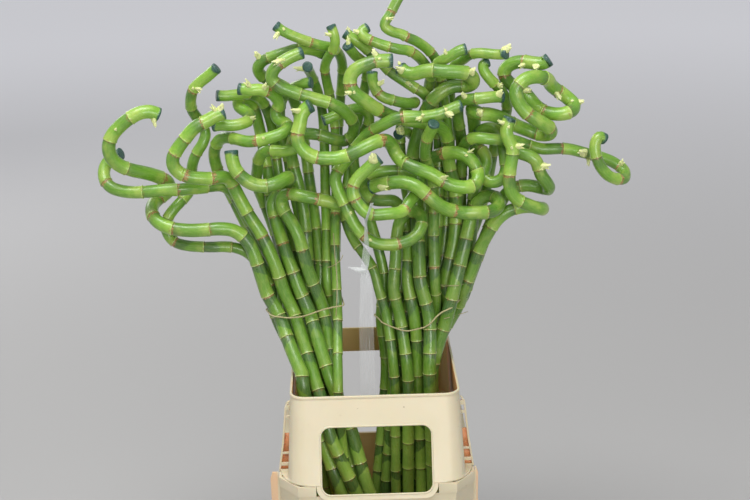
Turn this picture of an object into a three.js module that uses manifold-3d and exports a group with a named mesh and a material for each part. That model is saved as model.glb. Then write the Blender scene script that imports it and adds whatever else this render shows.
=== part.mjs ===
// Spiral lucky bamboo standing in two tied bundles in a tall plastic flower bucket.
// Units are millimetres, +Z is up, +X runs to the right along the long row of curls, and +Y
// runs from the front of the bucket to its back. The origin is the middle of the bucket's underside.
import * as THREE from 'three';
import { mergeVertices } from 'three/addons/utils/BufferGeometryUtils.js';
import Module from 'manifold-3d';

const wasm = await Module();
wasm.setup();

// ---- driving dimensions -------------------------------------------------------------------
const CLEAR = 0.3; // gap that is left between pieces that touch

const BUCKET_HEIGHT = 260;
const BUCKET_FOOT_X = 262;
const BUCKET_FOOT_Y = 376;
const BUCKET_RIM_X = 278;
const BUCKET_RIM_Y = 398;
const BUCKET_LIP = 1; // how far the rim bead stands out of the wall
const BUCKET_LIP_HEIGHT = 15;
const BUCKET_WALL = 3;
const BUCKET_FLOOR = 3;
const BUCKET_CHAMFER_X = 28;
const BUCKET_CHAMFER_Y = 42;

const COLLAR_TOP = 381;
const COLLAR_FOOT_X = 254;
const COLLAR_FOOT_Y = 396;
const COLLAR_TOP_X = 240;
const COLLAR_TOP_Y = 325;
const COLLAR_WALL = 4;
const COLLAR_CUT_X = 16; // corner cuts of the collar's foot
const COLLAR_CUT_Y = 24;
const FLANGE_X = 276; // the flange of the collar's foot, which covers the bucket's rim
const FLANGE_Y = 397;
const FLANGE_THICK = 2;
const WINDOW_WIDTH = 156;
const WINDOW_TOP = 339;
const WINDOW_FRONT_SILL = 248;
const WINDOW_BACK_SILL = 190; // at the back the window runs down into a notch in the bucket
const WINDOW_CORNER = 13;
const FRAME_WIDTH = 8;
const FRAME_PROUD = 4;
const FRAME_ROOT = 1.2; // how deep the frame is rooted in the wall
const FIN_REACH = [141, 134.5, 129.2]; // outer edge of the front corner fins at foot, middle and top
const FIN_LEVELS = [261, 305, 359];
const FIN_TOP = 367;
const FIN_HOLES = [[263, 269], [274, 286.5], [290, 341.5], [345.5, 354]]; // lowest and highest z
const FIN_EDGE = 2.6;
const FIN_Y = 136;
const FIN_THICK = 4;
const RIB_REACH_LEFT = 153; // the bucket's own rib outside each front corner
const RIB_REACH_RIGHT = 146;
const RIB_TOP = 263;
const RIB_FOOT = 40;
const RIB_Y = 146;
const RIB_THICK = 4;

const WATER_DEPTH = 72;
const FOOT_Z = BUCKET_FLOOR + CLEAR;

const EYE = [-28.9, -2432, 1188.4]; // the point the curls are laid out as seen from
const LEFT_WAIST_Z = 464;
const RIGHT_WAIST_Z = 452;
const NECK_Z = 368; // where the bundles are narrowest, inside the collar
// How each bundle goes down from its tie: it narrows in x towards `still` and spreads in y to the
// neck inside the collar, then crosses over to its feet. The canes in its front row go straight
// down instead: `low` gives their x at the neck, and their feet.
const LEFT_SHAPE = {
  waistZ: LEFT_WAIST_Z, still: -73, narrow: 0.52, neckY: -32, footX: -20, middle: -92, footY: -46,
};
const RIGHT_SHAPE = {
  waistZ: RIGHT_WAIST_Z, still: 30, narrow: 0.6, neckY: 8, footX: 42, middle: 73, footY: 44,
};
const NECK_SPREAD = 1.8;
const SIDES = 6;
const SAMPLE = 5; // spacing of the points along a cane while the canes are laid side by side
const BORE_ROOM = CLEAR + 0.1; // how much wider than its cane a hole in the water is
const AIR = 2.4; // least distance kept between two canes there
const TURN = 24; // a cane gets a new section after it has turned this many degrees
const LONGEST = 74; // or after this length

const TIE_HEIGHT = 4;
const TIE_THICK = 1.2;
const TIE_SLACK = 2.1;

const STRIP_CLIP_WIDTH = 5;
// Stations of the film strip, from its foot to its clip: x, height, distance from the cane that
// carries it, width and thickness.
const STRIP = [
  [-8, 322, 1, 22, 0.8], [-8, 411, 3, 22, 0.8], [-9, 449, 3, 20, 0.8], [-7, 505, 3, 12, 0.9],
  [-9, 519, 3, 18, 2.4], [-9, 529, 3, 17, 2.4], [-6, 538, 2, 11, 1], [-5, 588, 1, 4, 1.4],
  [-5, 594, 0, STRIP_CLIP_WIDTH, 3], [5, 622, 0, STRIP_CLIP_WIDTH, 3],
];

// ---- the canes ------------------------------------------------------------------------------
// Each route runs from the cut tip to the bundle: [x, z, y] with x and z as they are seen on the
// upright plane through the middle of the bucket, and y the depth. Then the place in the tied
// bundle (x, y), and side shoots as [x, z, reach x, reach y, reach z, radius].
const LEFT = [
  { name: 'cane_left_hook', d: 20, waist: [-130, -22], low: [-98, 16, -94], route: [
    [-299, 761, -30], [-312, 766, -33], [-326, 765, -35], [-341, 758, -36], [-357, 746, -36],
    [-370, 731, -36], [-375, 714, -35], [-371, 699, -32], [-360, 688, -27], [-343, 681, -20],
    [-323, 676, -8], [-305, 670, 6], [-292, 662, 20], [-290, 650, 32], [-300, 641, 34],
    [-311, 632, 26], [-315, 621, 10], [-312, 611, -4], [-303, 601, -15], [-287, 593, -23],
    [-264, 589, -27], [-240, 589, -29], [-218, 590, -28], [-199, 587, -26], [-184, 577, -24],
    [-172, 560, -24], [-165, 540, -25], [-157, 514, -24], [-149, 490, -22]],
    shoots: [[-308, 748, 2, -4, -14, 3.5]] },
  { name: 'cane_left_tall', d: 16.5, waist: [-146, -5], route: [
    [-212, 828, -30], [-226, 816, -28], [-239, 806, -24], [-248, 796, -18], [-252, 782, -10],
    [-251, 768, 0], [-245, 757, 8], [-238, 746, 12], [-232, 732, 12], [-236, 718, 8],
    [-245, 705, 8], [-252, 692, 12], [-256, 676, 20], [-256, 660, 22], [-263, 645, 14],
    [-275, 632, 4], [-288, 619, -4], [-297, 606, -8], [-300, 593, -8], [-296, 580, -8],
    [-286, 570, -10], [-270, 565, -12], [-252, 563, -14], [-233, 562, -14], [-213, 562, -12],
    [-194, 559, -10], [-177, 550, -8], [-163, 532, -6], [-148, 503, -4]],
    shoots: [[-240, 796, 6, -10, -2, 3]] },
  { name: 'cane_left_arch', d: 19.5, waist: [-111, -22], low: [-82, 34, -114], route: [
    [-205, 762, -46], [-217, 758, -49], [-230, 751, -51], [-249, 741, -53], [-264, 725, -53],
    [-275, 711, -52], [-283, 697, -50], [-282, 684, -48], [-273, 674, -46], [-259, 668, -44],
    [-243, 666, -41], [-228, 665, -36], [-213, 667, -29], [-202, 662, -20], [-195, 648, -15],
    [-186, 628, -15], [-175, 606, -17], [-161, 582, -19], [-147, 552, -21], [-135, 524, -22],
    [-126, 493, -21]],
    shoots: [[-203, 764, 4, -3, 8, 3.5], [-212, 766, -4, -4, 8, 3]] },
  { name: 'cane_left_low', d: 18.5, waist: [-121, -3], route: [
    [-357, 706, 6], [-369, 701, 10], [-379, 692, 10], [-384, 680, 4], [-383, 667, -4],
    [-376, 657, -12], [-363, 651, -17], [-345, 648, -20], [-327, 648, -22], [-309, 649, -24],
    [-291, 650, -25], [-275, 650, -24], [-259, 651, -19], [-243, 652, -11], [-229, 654, -3],
    [-214, 654, 4], [-201, 646, 8], [-191, 630, 9], [-178, 602, 7], [-160, 568, 3],
    [-140, 526, 0], [-124, 492, -1]],
    shoots: [] },
  { name: 'cane_left_knot', d: 20, waist: [-94, -22], low: [-68, 50, -84], route: [
    [-193, 714, -36], [-193, 699, -41], [-190, 683, -46], [-181, 668, -50], [-167, 656, -53],
    [-150, 651, -53], [-134, 653, -50], [-121, 658, -40], [-115, 657, -25], [-119, 649, -6],
    [-131, 639, 8], [-142, 622, 12], [-139, 598, 6], [-131, 566, -4], [-122, 532, -14],
    [-110, 495, -19]],
    shoots: [] },
  { name: 'cane_left_middle', d: 19, waist: [-76, -19], low: [-60, 0, -80], route: [
    [-21, 619, -24], [-34, 621, -27], [-48, 623, -29], [-62, 628, -31], [-76, 632, -32],
    [-90, 636, -32], [-104, 640, -27], [-116, 643, -16], [-126, 637, -8], [-127, 623, -8],
    [-120, 608, -14], [-112, 593, -20], [-106, 578, -23], [-102, 561, -24], [-98, 540, -24],
    [-92, 512, -22]],
    shoots: [] },
  { name: 'cane_left_pair', d: 17.5, waist: [-129, 15], route: [
    [-184, 796, -32], [-168, 794, -34], [-153, 794, -33], [-140, 790, -28], [-130, 782, -22],
    [-126, 771, -17], [-131, 761, -14], [-128, 750, -16], [-117, 744, -24], [-115, 736, -36],
    [-125, 729, -44], [-140, 724, -47], [-157, 720, -45], [-175, 719, -39], [-194, 724, -28],
    [-209, 726, -13], [-220, 719, 3], [-225, 702, 17], [-219, 675, 26], [-202, 642, 27],
    [-184, 602, 22], [-162, 556, 18], [-137, 504, 16]],
    shoots: [[-163, 803, -5, -6, 10, 3], [-150, 801, 4, -8, 6, 3]] },
  { name: 'cane_left_stub', d: 17, waist: [-110, 15], route: [
    [-223, 743, -27], [-209, 744, -30], [-195, 743, -30], [-181, 745, -28], [-170, 750, -20],
    [-167, 757, -8], [-174, 764, 2], [-182, 771, 8], [-181, 780, 18], [-170, 781, 30],
    [-160, 770, 42], [-155, 745, 50], [-152, 710, 50], [-151, 670, 42], [-150, 640, 31],
    [-147, 618, 24], [-139, 588, 18], [-125, 540, 15], [-111, 496, 15]],
    shoots: [[-165, 746, 5, -9, 3, 3]] },
  { name: 'cane_left_high', d: 16.5, waist: [-92, 15], route: [
    [-216, 787, -5], [-202, 786, -1], [-188, 787, 4], [-173, 788, 13], [-160, 783, 26],
    [-149, 768, 40], [-141, 740, 54], [-136, 700, 58], [-131, 655, 50], [-122, 610, 38],
    [-110, 562, 26], [-95, 507, 17]],
    shoots: [] },
  { name: 'cane_left_crown', d: 17, waist: [-85, -3], route: [
    [-58, 843, 14], [-70, 848, 8], [-84, 851, 0], [-98, 851, -6], [-116, 846, -4],
    [-133, 841, -2], [-147, 835, 2], [-154, 825, 8],
    [-150, 815, 14], [-140, 808, 21], [-126, 802, 30], [-112, 792, 40], [-102, 772, 52],
    [-96, 742, 60], [-90, 702, 64], [-86, 657, 56], [-82, 615, 42], [-79, 568, 25],
    [-77, 515, 8]],
    shoots: [[-151, 838, -6, -4, 8, 3]] },
  { name: 'cane_left_coil', d: 18, waist: [-103, -3], route: [
    [-89, 846, -40], [-104, 841, -44], [-119, 833, -47], [-131, 823, -48], [-135, 811, -46],
    [-125, 799, -44], [-110, 792, -42], [-94, 786, -41], [-75, 780, -39], [-53, 773, -34],
    [-36, 764, -25], [-24, 751, -12], [-19, 737, 2], [-23, 724, 10], [-34, 717, 10],
    [-48, 719, 4], [-66, 725, 0], [-87, 728, 2], [-103, 723, 12], [-111, 708, 23],
    [-109, 685, 29], [-102, 652, 28], [-96, 615, 22], [-93, 570, 12], [-93, 515, 2]],
    shoots: [[-106, 827, -14, -10, -2, 3.5]] },
  { name: 'cane_left_back', d: 15, waist: [-61, -9], route: [
    [-83, 826, -24], [-82, 822, -10], [-79, 816, 6], [-75, 806, 22], [-69, 788, 38],
    [-64, 762, 52], [-62, 728, 58], [-62, 690, 56], [-62, 645, 42], [-62, 600, 24],
    [-64, 545, 2], [-66, 500, -14]],
    shoots: [[-88, 829, -15, -8, 0, 3]] },
  { name: 'cane_left_flag', d: 15, waist: [-55, 9], route: [
    [-127, 886, -18], [-117, 878, -20], [-106, 872, -21], [-90, 865, -19], [-77, 860, -15],
    [-61, 855, -8], [-48, 852, 2], [-38, 844, 15], [-33, 829, 30], [-34, 804, 46],
    [-38, 768, 58], [-42, 728, 62], [-45, 688, 58], [-48, 640, 44], [-50, 590, 26],
    [-53, 535, 8]],
    shoots: [[-126, 878, -6, -6, -8, 3]] },
  { name: 'cane_left_sprig', d: 14, waist: [-52, -30], low: [-57, -24, -78], route: [
    [-48, 884, -36], [-44, 873, -38], [-42, 861, -36], [-45, 849, -27], [-53, 838, -12],
    [-58, 824, 4], [-56, 804, 20], [-50, 772, 34], [-46, 735, 40], [-46, 695, 38],
    [-47, 650, 26], [-50, 600, 8], [-52, 550, -8], [-52, 505, -18]],
    shoots: [[-52, 868, -8, -5, 2, 2.5]] },
  { name: 'cane_left_cap', d: 16, waist: [-75, 17], route: [
    [-77, 802, -34], [-88, 801, -30], [-100, 797, -20], [-112, 790, -6], [-121, 779, 10],
    [-125, 762, 26], [-124, 742, 38], [-120, 718, 46], [-115, 688, 50], [-110, 650, 44],
    [-103, 612, 36], [-93, 568, 26], [-76, 512, 18]],
    shoots: [] },
  { name: 'cane_left_bend', d: 17, waist: [-101, 32], route: [
    [-92, 711, -22], [-105, 706, -24], [-119, 703, -22], [-134, 704, -18], [-147, 703, -10],
    [-154, 693, 2], [-155, 677, 20], [-154, 655, 41], [-147, 625, 50], [-138, 588, 46],
    [-127, 540, 39], [-117, 500, 33]],
    shoots: [] },
];

const RIGHT = [
  { name: 'cane_mid_dark', d: 15, waist: [22, -20], low: [31, 34, 18], route: [
    [-26, 855, -24], [-20, 849, -18], [-12, 841, -8], [-2, 833, 6], [4, 818, 22],
    [0, 793, 38], [-9, 758, 50], [-18, 718, 54], [-26, 678, 48], [-32, 640, 34],
    [-35, 606, 20], [-31, 585, 10], [-21, 562, 2], [-8, 543, -6], [5, 519, -13],
    [12, 490, -18]],
    shoots: [[-27, 864, -2, -4, 12, 3.5]] },
  { name: 'cane_mid_serpent', d: 20, waist: [54, -1], route: [
    [-79, 777, -44], [-88, 770, -46], [-94, 760, -50], [-97, 746, -54], [-101, 729, -58],
    [-98, 713, -60], [-88, 701, -62],
    [-75, 694, -62], [-60, 692, -62], [-45, 692, -62], [-29, 696, -62], [-13, 703, -62],
    [2, 711, -60], [15, 717, -54], [27, 718, -44], [35, 710, -36], [40, 699, -34],
    [47, 688, -38], [57, 680, -44], [68, 674, -50], [80, 669, -53], [93, 663, -54],
    [106, 654, -54], [118, 647, -54], [131, 643, -54], [145, 642, -52], [156, 646, -46],
    [161, 656, -39], [159, 668, -34], [153, 679, -31], [143, 688, -27], [131, 693, -21],
    [118, 694, -14], [104, 692, -6], [92, 686, 2], [83, 675, 11], [79, 658, 20],
    [80, 635, 25], [82, 605, 22], [80, 565, 14], [75, 515, 4]],
    shoots: [[-96, 769, -11, -8, 2, 3.5], [108, 660, 6, -10, 4, 3], [142, 696, 8, -6, 5, 2.5]] },
  { name: 'cane_mid_loop', d: 18, waist: [44, -20], low: [53, 54, 18], route: [
    [138, 763, -48], [128, 760, -50], [115, 755, -52], [100, 751, -53], [82, 750, -53],
    [64, 752, -52], [50, 752, -50], [38, 750, -46], [26, 745, -40], [13, 737, -32],
    [1, 728, -25], [-9, 717, -20], [-18, 705, -20], [-26, 694, -26], [-34, 684, -36],
    [-43, 673, -44], [-48, 660, -50], [-45, 645, -53], [-39, 630, -54], [-32, 614, -56],
    [-26, 600, -58], [-20, 588, -60], [-12, 577, -62], [-3, 568, -64], [9, 561, -65],
    [26, 558, -65], [43, 559, -62], [59, 564, -57], [71, 573, -50], [78, 586, -40],
    [78, 599, -28], [70, 608, -14], [57, 606, -2], [47, 592, 4], [43, 568, 0],
    [41, 530, -10], [37, 490, -18]],
    shoots: [[115, 748, 6, -10, -2, 4], [80, 748, -4, -9, -1, 3]] },
  { name: 'cane_mid_ring', d: 18, waist: [65, -20], low: [71, 66, 8], route: [
    [18, 689, -70], [8, 681, -71], [-3, 671, -71], [-13, 662, -71], [-20, 652, -72],
    [-23, 641, -73], [-20, 629, -74], [-13, 617, -75], [-4, 608, -76], [7, 604, -76],
    [18, 604, -75], [32, 605, -73], [44, 606, -68], [53, 611, -61], [59, 620, -54],
    [67, 631, -45], [74, 641, -35], [75, 653, -24], [68, 662, -15], [57, 667, -11],
    [44, 669, -10], [30, 669, -10], [17, 668, -10], [5, 664, -7], [-4, 653, 1],
    [-5, 643, 9], [1, 632, 13], [11, 626, 12], [23, 625, 11], [37, 624, 13],
    [48, 610, 19], [54, 590, 20], [57, 555, 8], [56, 505, -10]],
    shoots: [[2, 690, -2, -8, 8, 5.5]] },
  { name: 'cane_mid_sweep', d: 20, waist: [109, -17], low: [82, 100, 36], route: [
    [3, 645, -38], [17, 649, -43], [31, 651, -47], [45, 652, -51], [58, 650, -57],
    [71, 644, -63], [84, 633, -66], [98, 620, -65], [111, 611, -61], [126, 606, -56],
    [142, 603, -52], [159, 603, -50], [173, 603, -45], [185, 606, -36], [192, 615, -24],
    [188, 624, -12], [177, 628, -2], [163, 622, 5], [153, 606, 6], [146, 580, 0],
    [136, 540, -9], [123, 492, -18]],
    shoots: [[2, 642, 10, -9, 0, 5]] },
  { name: 'cane_mid_front', d: 20, waist: [113, 0], route: [
    [40, 831, -60], [28, 831, -61], [14, 830, -62], [1, 826, -62], [-12, 820, -62],
    [-20, 811, -62], [-22, 800, -62], [-19, 789, -62], [-11, 780, -61], [-2, 773, -59],
    [8, 765, -54], [18, 758, -46], [28, 752, -36], [40, 747, -27], [52, 744, -22],
    [65, 742, -23], [78, 741, -23], [92, 739, -17], [106, 735, -6], [117, 725, 5],
    [122, 710, 13], [124, 692, 18], [127, 670, 22], [131, 645, 23], [131, 610, 19],
    [125, 560, 10], [112, 502, 1]],
    shoots: [[17, 841, -4, -2, 8, 3], [-17, 786, -6, -8, 0, 3]] },
  { name: 'cane_mid_cup', d: 16, waist: [34, -2], route: [
    [10, 816, -22], [10, 804, -26], [13, 792, -31], [18, 782, -34], [27, 775, -34],
    [39, 772, -31], [52, 770, -26], [65, 770, -17], [74, 772, -5], [76, 774, 9],
    [68, 771, 22], [58, 756, 32], [51, 732, 38], [49, 700, 40], [52, 660, 38],
    [58, 620, 30], [56, 570, 18], [50, 510, 4]],
    shoots: [[21, 796, 8, -4, 6, 2.5]] },
  { name: 'cane_mid_lean', d: 16, waist: [75, -1], route: [
    [-28, 873, -4], [-15, 861, -6], [-2, 848, -2], [8, 836, 5], [20, 824, 8],
    [31, 811, 6], [43, 801, 4], [54, 792, 4], [65, 783, 5], [76, 775, 8],
    [87, 764, 14], [96, 748, 22], [100, 727, 29], [101, 695, 31], [100, 655, 29],
    [97, 615, 24], [94, 565, 14], [88, 510, 3]],
    shoots: [[-28, 878, -2, -2, 7, 2.5], [50, 796, 6, -7, -3, 3]] },
  { name: 'cane_top_step', d: 15, waist: [63, 17], route: [
    [5, 880, -12], [-4, 873, -17], [1, 866, -21], [11, 861, -22], [24, 856, -22],
    [38, 852, -22], [52, 849, -20], [66, 847, -15], [78, 841, -7], [87, 833, 5],
    [93, 821, 18], [98, 803, 30], [103, 780, 38], [108, 752, 43], [110, 718, 45],
    [109, 680, 43], [106, 640, 38], [100, 592, 31], [92, 540, 23], [82, 495, 17]],
    shoots: [[-9, 873, -6, -3, 3, 2.5]] },
  { name: 'cane_top_reach', d: 15, waist: [81, 17], route: [
    [57, 932, -8], [53, 925, -10], [48, 917, -12], [42, 906, -14], [36, 895, -16],
    [30, 886, -18], [29, 879, -18], [35, 873, -18], [43, 869, -16], [52, 866, -14],
    [60, 861, -12], [70, 856, -8], [80, 849, -2], [90, 840, 6], [99, 831, 13],
    [106, 818, 20], [111, 802, 26], [116, 780, 32], [120, 750, 38], [122, 712, 41],
    [122, 670, 39], [119, 625, 33], [112, 570, 25], [102, 515, 18]],
    shoots: [[34, 888, 6, -6, 2, 2]] },
  { name: 'cane_right_drum', d: 20, waist: [86, -20], low: [84, 86, 6], route: [
    [50, 820, -20], [59, 813, -26], [71, 811, -31], [84, 814, -36], [98, 815, -40],
    [111, 813, -42], [124, 812, -43], [137, 811, -42], [149, 809, -39], [158, 803, -34],
    [160, 795, -27], [153, 788, -20], [142, 786, -16], [130, 787, -14], [118, 785, -13],
    [106, 779, -12], [96, 771, -8], [88, 761, 0], [81, 747, 8], [75, 730, 12],
    [70, 712, 14], [68, 690, 17], [69, 665, 18], [71, 635, 20], [72, 600, 16],
    [73, 555, 0], [74, 505, -14]],
    shoots: [[54, 822, -6, -6, 4, 4.5], [152, 817, 4, -8, 5, 4]] },
  { name: 'cane_right_peg', d: 16, waist: [45, 17], route: [
    [149, 843, -30], [138, 840, -32], [127, 834, -32], [117, 829, -29], [108, 824, -22],
    [100, 815, -10], [94, 800, 4], [90, 780, 18], [88, 752, 30], [86, 720, 38],
    [84, 685, 42], [81, 645, 40], [77, 600, 34], [70, 548, 24], [61, 498, 17]],
    shoots: [[117, 836, -3, -3, 6, 2.5]] },
  { name: 'cane_right_bar', d: 15, waist: [46, 33], route: [
    [205, 836, -46], [196, 835, -41], [184, 835, -35], [170, 836, -30], [157, 836, -25],
    [146, 833, -17], [137, 827, -8], [127, 822, 2], [119, 812, 14], [116, 795, 27],
    [117, 770, 39], [119, 740, 48], [119, 705, 54], [117, 665, 55], [112, 620, 51],
    [102, 570, 44], [86, 515, 37]],
    shoots: [[198, 843, 8, -4, 9, 4]] },
  { name: 'cane_right_slip', d: 16, waist: [84, 56], route: [
    [177, 826, -22], [170, 822, -25], [170, 814, -27], [176, 805, -27], [184, 797, -24],
    [193, 789, -17], [202, 778, -6], [205, 762, 6], [201, 744, 18], [190, 722, 30],
    [183, 695, 41], [176, 663, 50], [167, 625, 55], [153, 578, 55], [130, 525, 52],
    [107, 480, 50]],
    shoots: [[196, 795, 3, -6, 2, 3.5]] },
  { name: 'cane_right_spiral', d: 20, waist: [100, 39], route: [
    [266, 827, -30], [256, 820, -30], [243, 820, -26], [229, 822, -18], [216, 821, -12],
    [205, 816, -8], [199, 807, -6], [201, 797, -6], [209, 788, -6], [219, 782, -6],
    [229, 776, -8], [237, 767, -15], [245, 758, -21], [255, 751, -26], [267, 747, -30],
    [280, 746, -34], [291, 748, -34], [299, 753, -25], [300, 762, -14], [293, 770, -9],
    [284, 778, -9], [275, 785, -12], [267, 793, -17], [262, 802, -26], [253, 806, -36],
    [242, 806, -44], [232, 803, -49], [223, 796, -52], [217, 786, -54], [218, 773, -55],
    [224, 761, -55], [233, 750, -55], [245, 741, -54], [257, 733, -51], [266, 726, -42],
    [267, 719, -29], [259, 717, -16], [247, 719, -9], [235, 724, -7], [223, 729, -9],
    [211, 735, -14], [199, 742, -20], [187, 748, -26], [174, 752, -31], [161, 754, -33],
    [151, 759, -26], [148, 762, -12], [149, 757, 4], [151, 742, 22], [153, 718, 38],
    [154, 688, 49], [152, 652, 52], [148, 612, 49], [141, 565, 42], [130, 515, 35]],
    shoots: [[228, 780, 5, -8, 2, 4.5], [246, 819, -3, -8, -3, 4], [233, 815, -8, -6, -3, 3],
      [259, 778, 7, -6, -12, 2.5], [163, 757, 2, -12, 2, 4], [301, 762, 6, -2, 2, 3]] },
  { name: 'cane_right_plug', d: 17, waist: [81, 36], route: [
    [198, 776, -30], [184, 776, -34], [171, 775, -36], [158, 774, -33], [147, 773, -23],
    [139, 771, -9], [135, 762, 6], [134, 745, 21], [136, 722, 34], [138, 692, 43],
    [138, 655, 48], [136, 612, 47], [129, 562, 42], [116, 510, 35]],
    shoots: [[190, 785, 4, -7, 6, 4], [149, 781, -6, -4, 5, 3]] },
  { name: 'cane_right_post', d: 19, waist: [121, 19], route: [
    [210, 744, -58], [206, 735, -60], [204, 723, -62], [207, 711, -62], [212, 699, -62],
    [212, 688, -62], [210, 676, -62], [208, 664, -62], [207, 651, -61], [208, 638, -59],
    [213, 627, -57], [222, 619, -54], [234, 613, -51], [246, 608, -46], [254, 606, -36],
    [254, 607, -22], [244, 609, -12], [230, 610, -8], [215, 608, -8], [200, 602, -9],
    [187, 591, -9], [175, 574, -8], [161, 550, -6], [143, 510, -4], [129, 482, -3]],
    shoots: [[192, 737, -8, -5, 3, 3], [226, 700, 9, -4, 2, 4]] },
  { name: 'cane_right_hook', d: 19, waist: [124, 43], route: [
    [212, 700, -34], [223, 695, -38], [234, 690, -42], [243, 683, -44], [248, 672, -44],
    [252, 660, -44], [259, 649, -42], [264, 640, -34], [261, 636, -20], [251, 638, -11],
    [238, 641, -9], [224, 641, -8], [210, 636, -6], [198, 625, -2], [188, 607, 3],
    [176, 582, 8], [159, 545, 12], [140, 505, 14]],
    shoots: [[252, 670, 10, -7, 1, 4]] },
  { name: 'cane_right_inner', d: 18, waist: [101, 19], route: [
    [160, 718, 12], [172, 727, 6], [186, 726, -2], [195, 713, -10], [199, 698, -18],
    [201, 682, -24], [202, 667, -28], [197, 654, -30], [185, 648, -28], [173, 651, -22],
    [168, 662, -12], [171, 676, -6],
    [168, 689, -2], [160, 698, 6], [153, 696, 16], [150, 682, 24], [150, 655, 26],
    [150, 615, 25], [144, 565, 21], [128, 508, 16]],
    shoots: [] },
  { name: 'cane_right_far', d: 17, waist: [63, 34], route: [
    [347, 707, -50], [338, 711, -53], [333, 702, -55], [333, 689, -57], [337, 675, -57],
    [344, 662, -55], [354, 652, -51], [367, 647, -42], [376, 649, -29], [375, 660, -16],
    [365, 669, -11], [353, 676, -11], [340, 681, -12], [327, 685, -14], [313, 689, -16],
    [299, 693, -17], [285, 695, -18], [270, 695, -19], [256, 695, -19], [242, 698, -19],
    [228, 703, -20], [213, 708, -22], [197, 710, -25], [182, 711, -28], [168, 713, -29],
    [155, 714, -25], [144, 710, -14], [137, 700, 1], [134, 685, 16], [133, 662, 29],
    [130, 630, 38], [124, 590, 42], [113, 545, 40], [98, 498, 35]],
    shoots: [[319, 688, -6, -10, 3, 5], [321, 678, 0, -3, -12, 2.5], [366, 662, 2, -8, 6, 3]] },
  { name: 'cane_right_face', d: 17, waist: [94, 0], route: [
    [98, 738, -74], [95, 731, -68], [90, 722, -58], [86, 712, -48], [84, 700, -39],
    [84, 688, -31], [88, 674, -24], [93, 658, -19], [95, 640, -16], [95, 615, -13],
    [94, 585, -12], [94, 545, -14], [94, 500, -18]],
    shoots: [] },
  { name: 'cane_mid_under', d: 16, waist: [17, -2], route: [
    [-64, 746, -14], [-50, 750, -14], [-36, 755, -11], [-21, 760, -5], [-7, 761, 2],
    [3, 753, 8], [3, 740, 12], [-5, 727, 15], [-14, 713, 19], [-20, 693, 24],
    [-16, 658, 28], [-2, 610, 20], [11, 560, 8], [21, 508, 0]],
    shoots: [] },
  { name: 'cane_mid_sprout', d: 15, waist: [28, 17], route: [
    [44, 722, -8], [56, 726, 4], [67, 722, 20], [76, 712, 40], [78, 690, 58],
    [76, 655, 66], [70, 615, 57], [60, 570, 39], [47, 510, 19]],
    shoots: [[44, 723, -2, -10, 6, 5]] },
];

// ---- laying out the centrelines ---------------------------------------------------------------
// A point (x, z) of the upright middle plane is slid along its line from the eye to depth y.
function seen(x, z, y) {
  const t = (y - EYE[1]) / -EYE[1];
  return new THREE.Vector3(EYE[0] + (x - EYE[0]) * t, y, EYE[2] + (z - EYE[2]) * t);
}

// The centreline from the foot on the bucket's floor to the tip, sampled evenly.
function centreline(cane, place, shape) {
  const [wx, wy] = cane.waist;
  const zigzag = place % 2 ? 6 : -6;
  const [neckX, footX, footY] = cane.low ?? [shape.still + (wx - shape.still) * shape.narrow,
    shape.footX + (wx - shape.middle) * 0.95, wy * 1.15 + shape.footY];
  const neck = new THREE.Vector3(neckX, wy * NECK_SPREAD + zigzag + shape.neckY, NECK_Z);
  const foot = new THREE.Vector3(footX, footY, FOOT_Z);
  const waist = new THREE.Vector3(wx, wy, shape.waistZ);
  const points = [foot];
  for (const part of [0.25, 0.5, 0.75]) {
    points.push(foot.clone().lerp(neck, part));
  }
  points.push(neck, waist);
  for (const [x, z, y] of [...cane.route].reverse()) {
    points.push(seen(x, z, y));
  }
  const curve = new THREE.CatmullRomCurve3(points, false, 'centripetal');
  curve.arcLengthDivisions = 1200;
  const count = Math.round(curve.getLength() / SAMPLE);
  return curve.getSpacedPoints(count);
}

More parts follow.
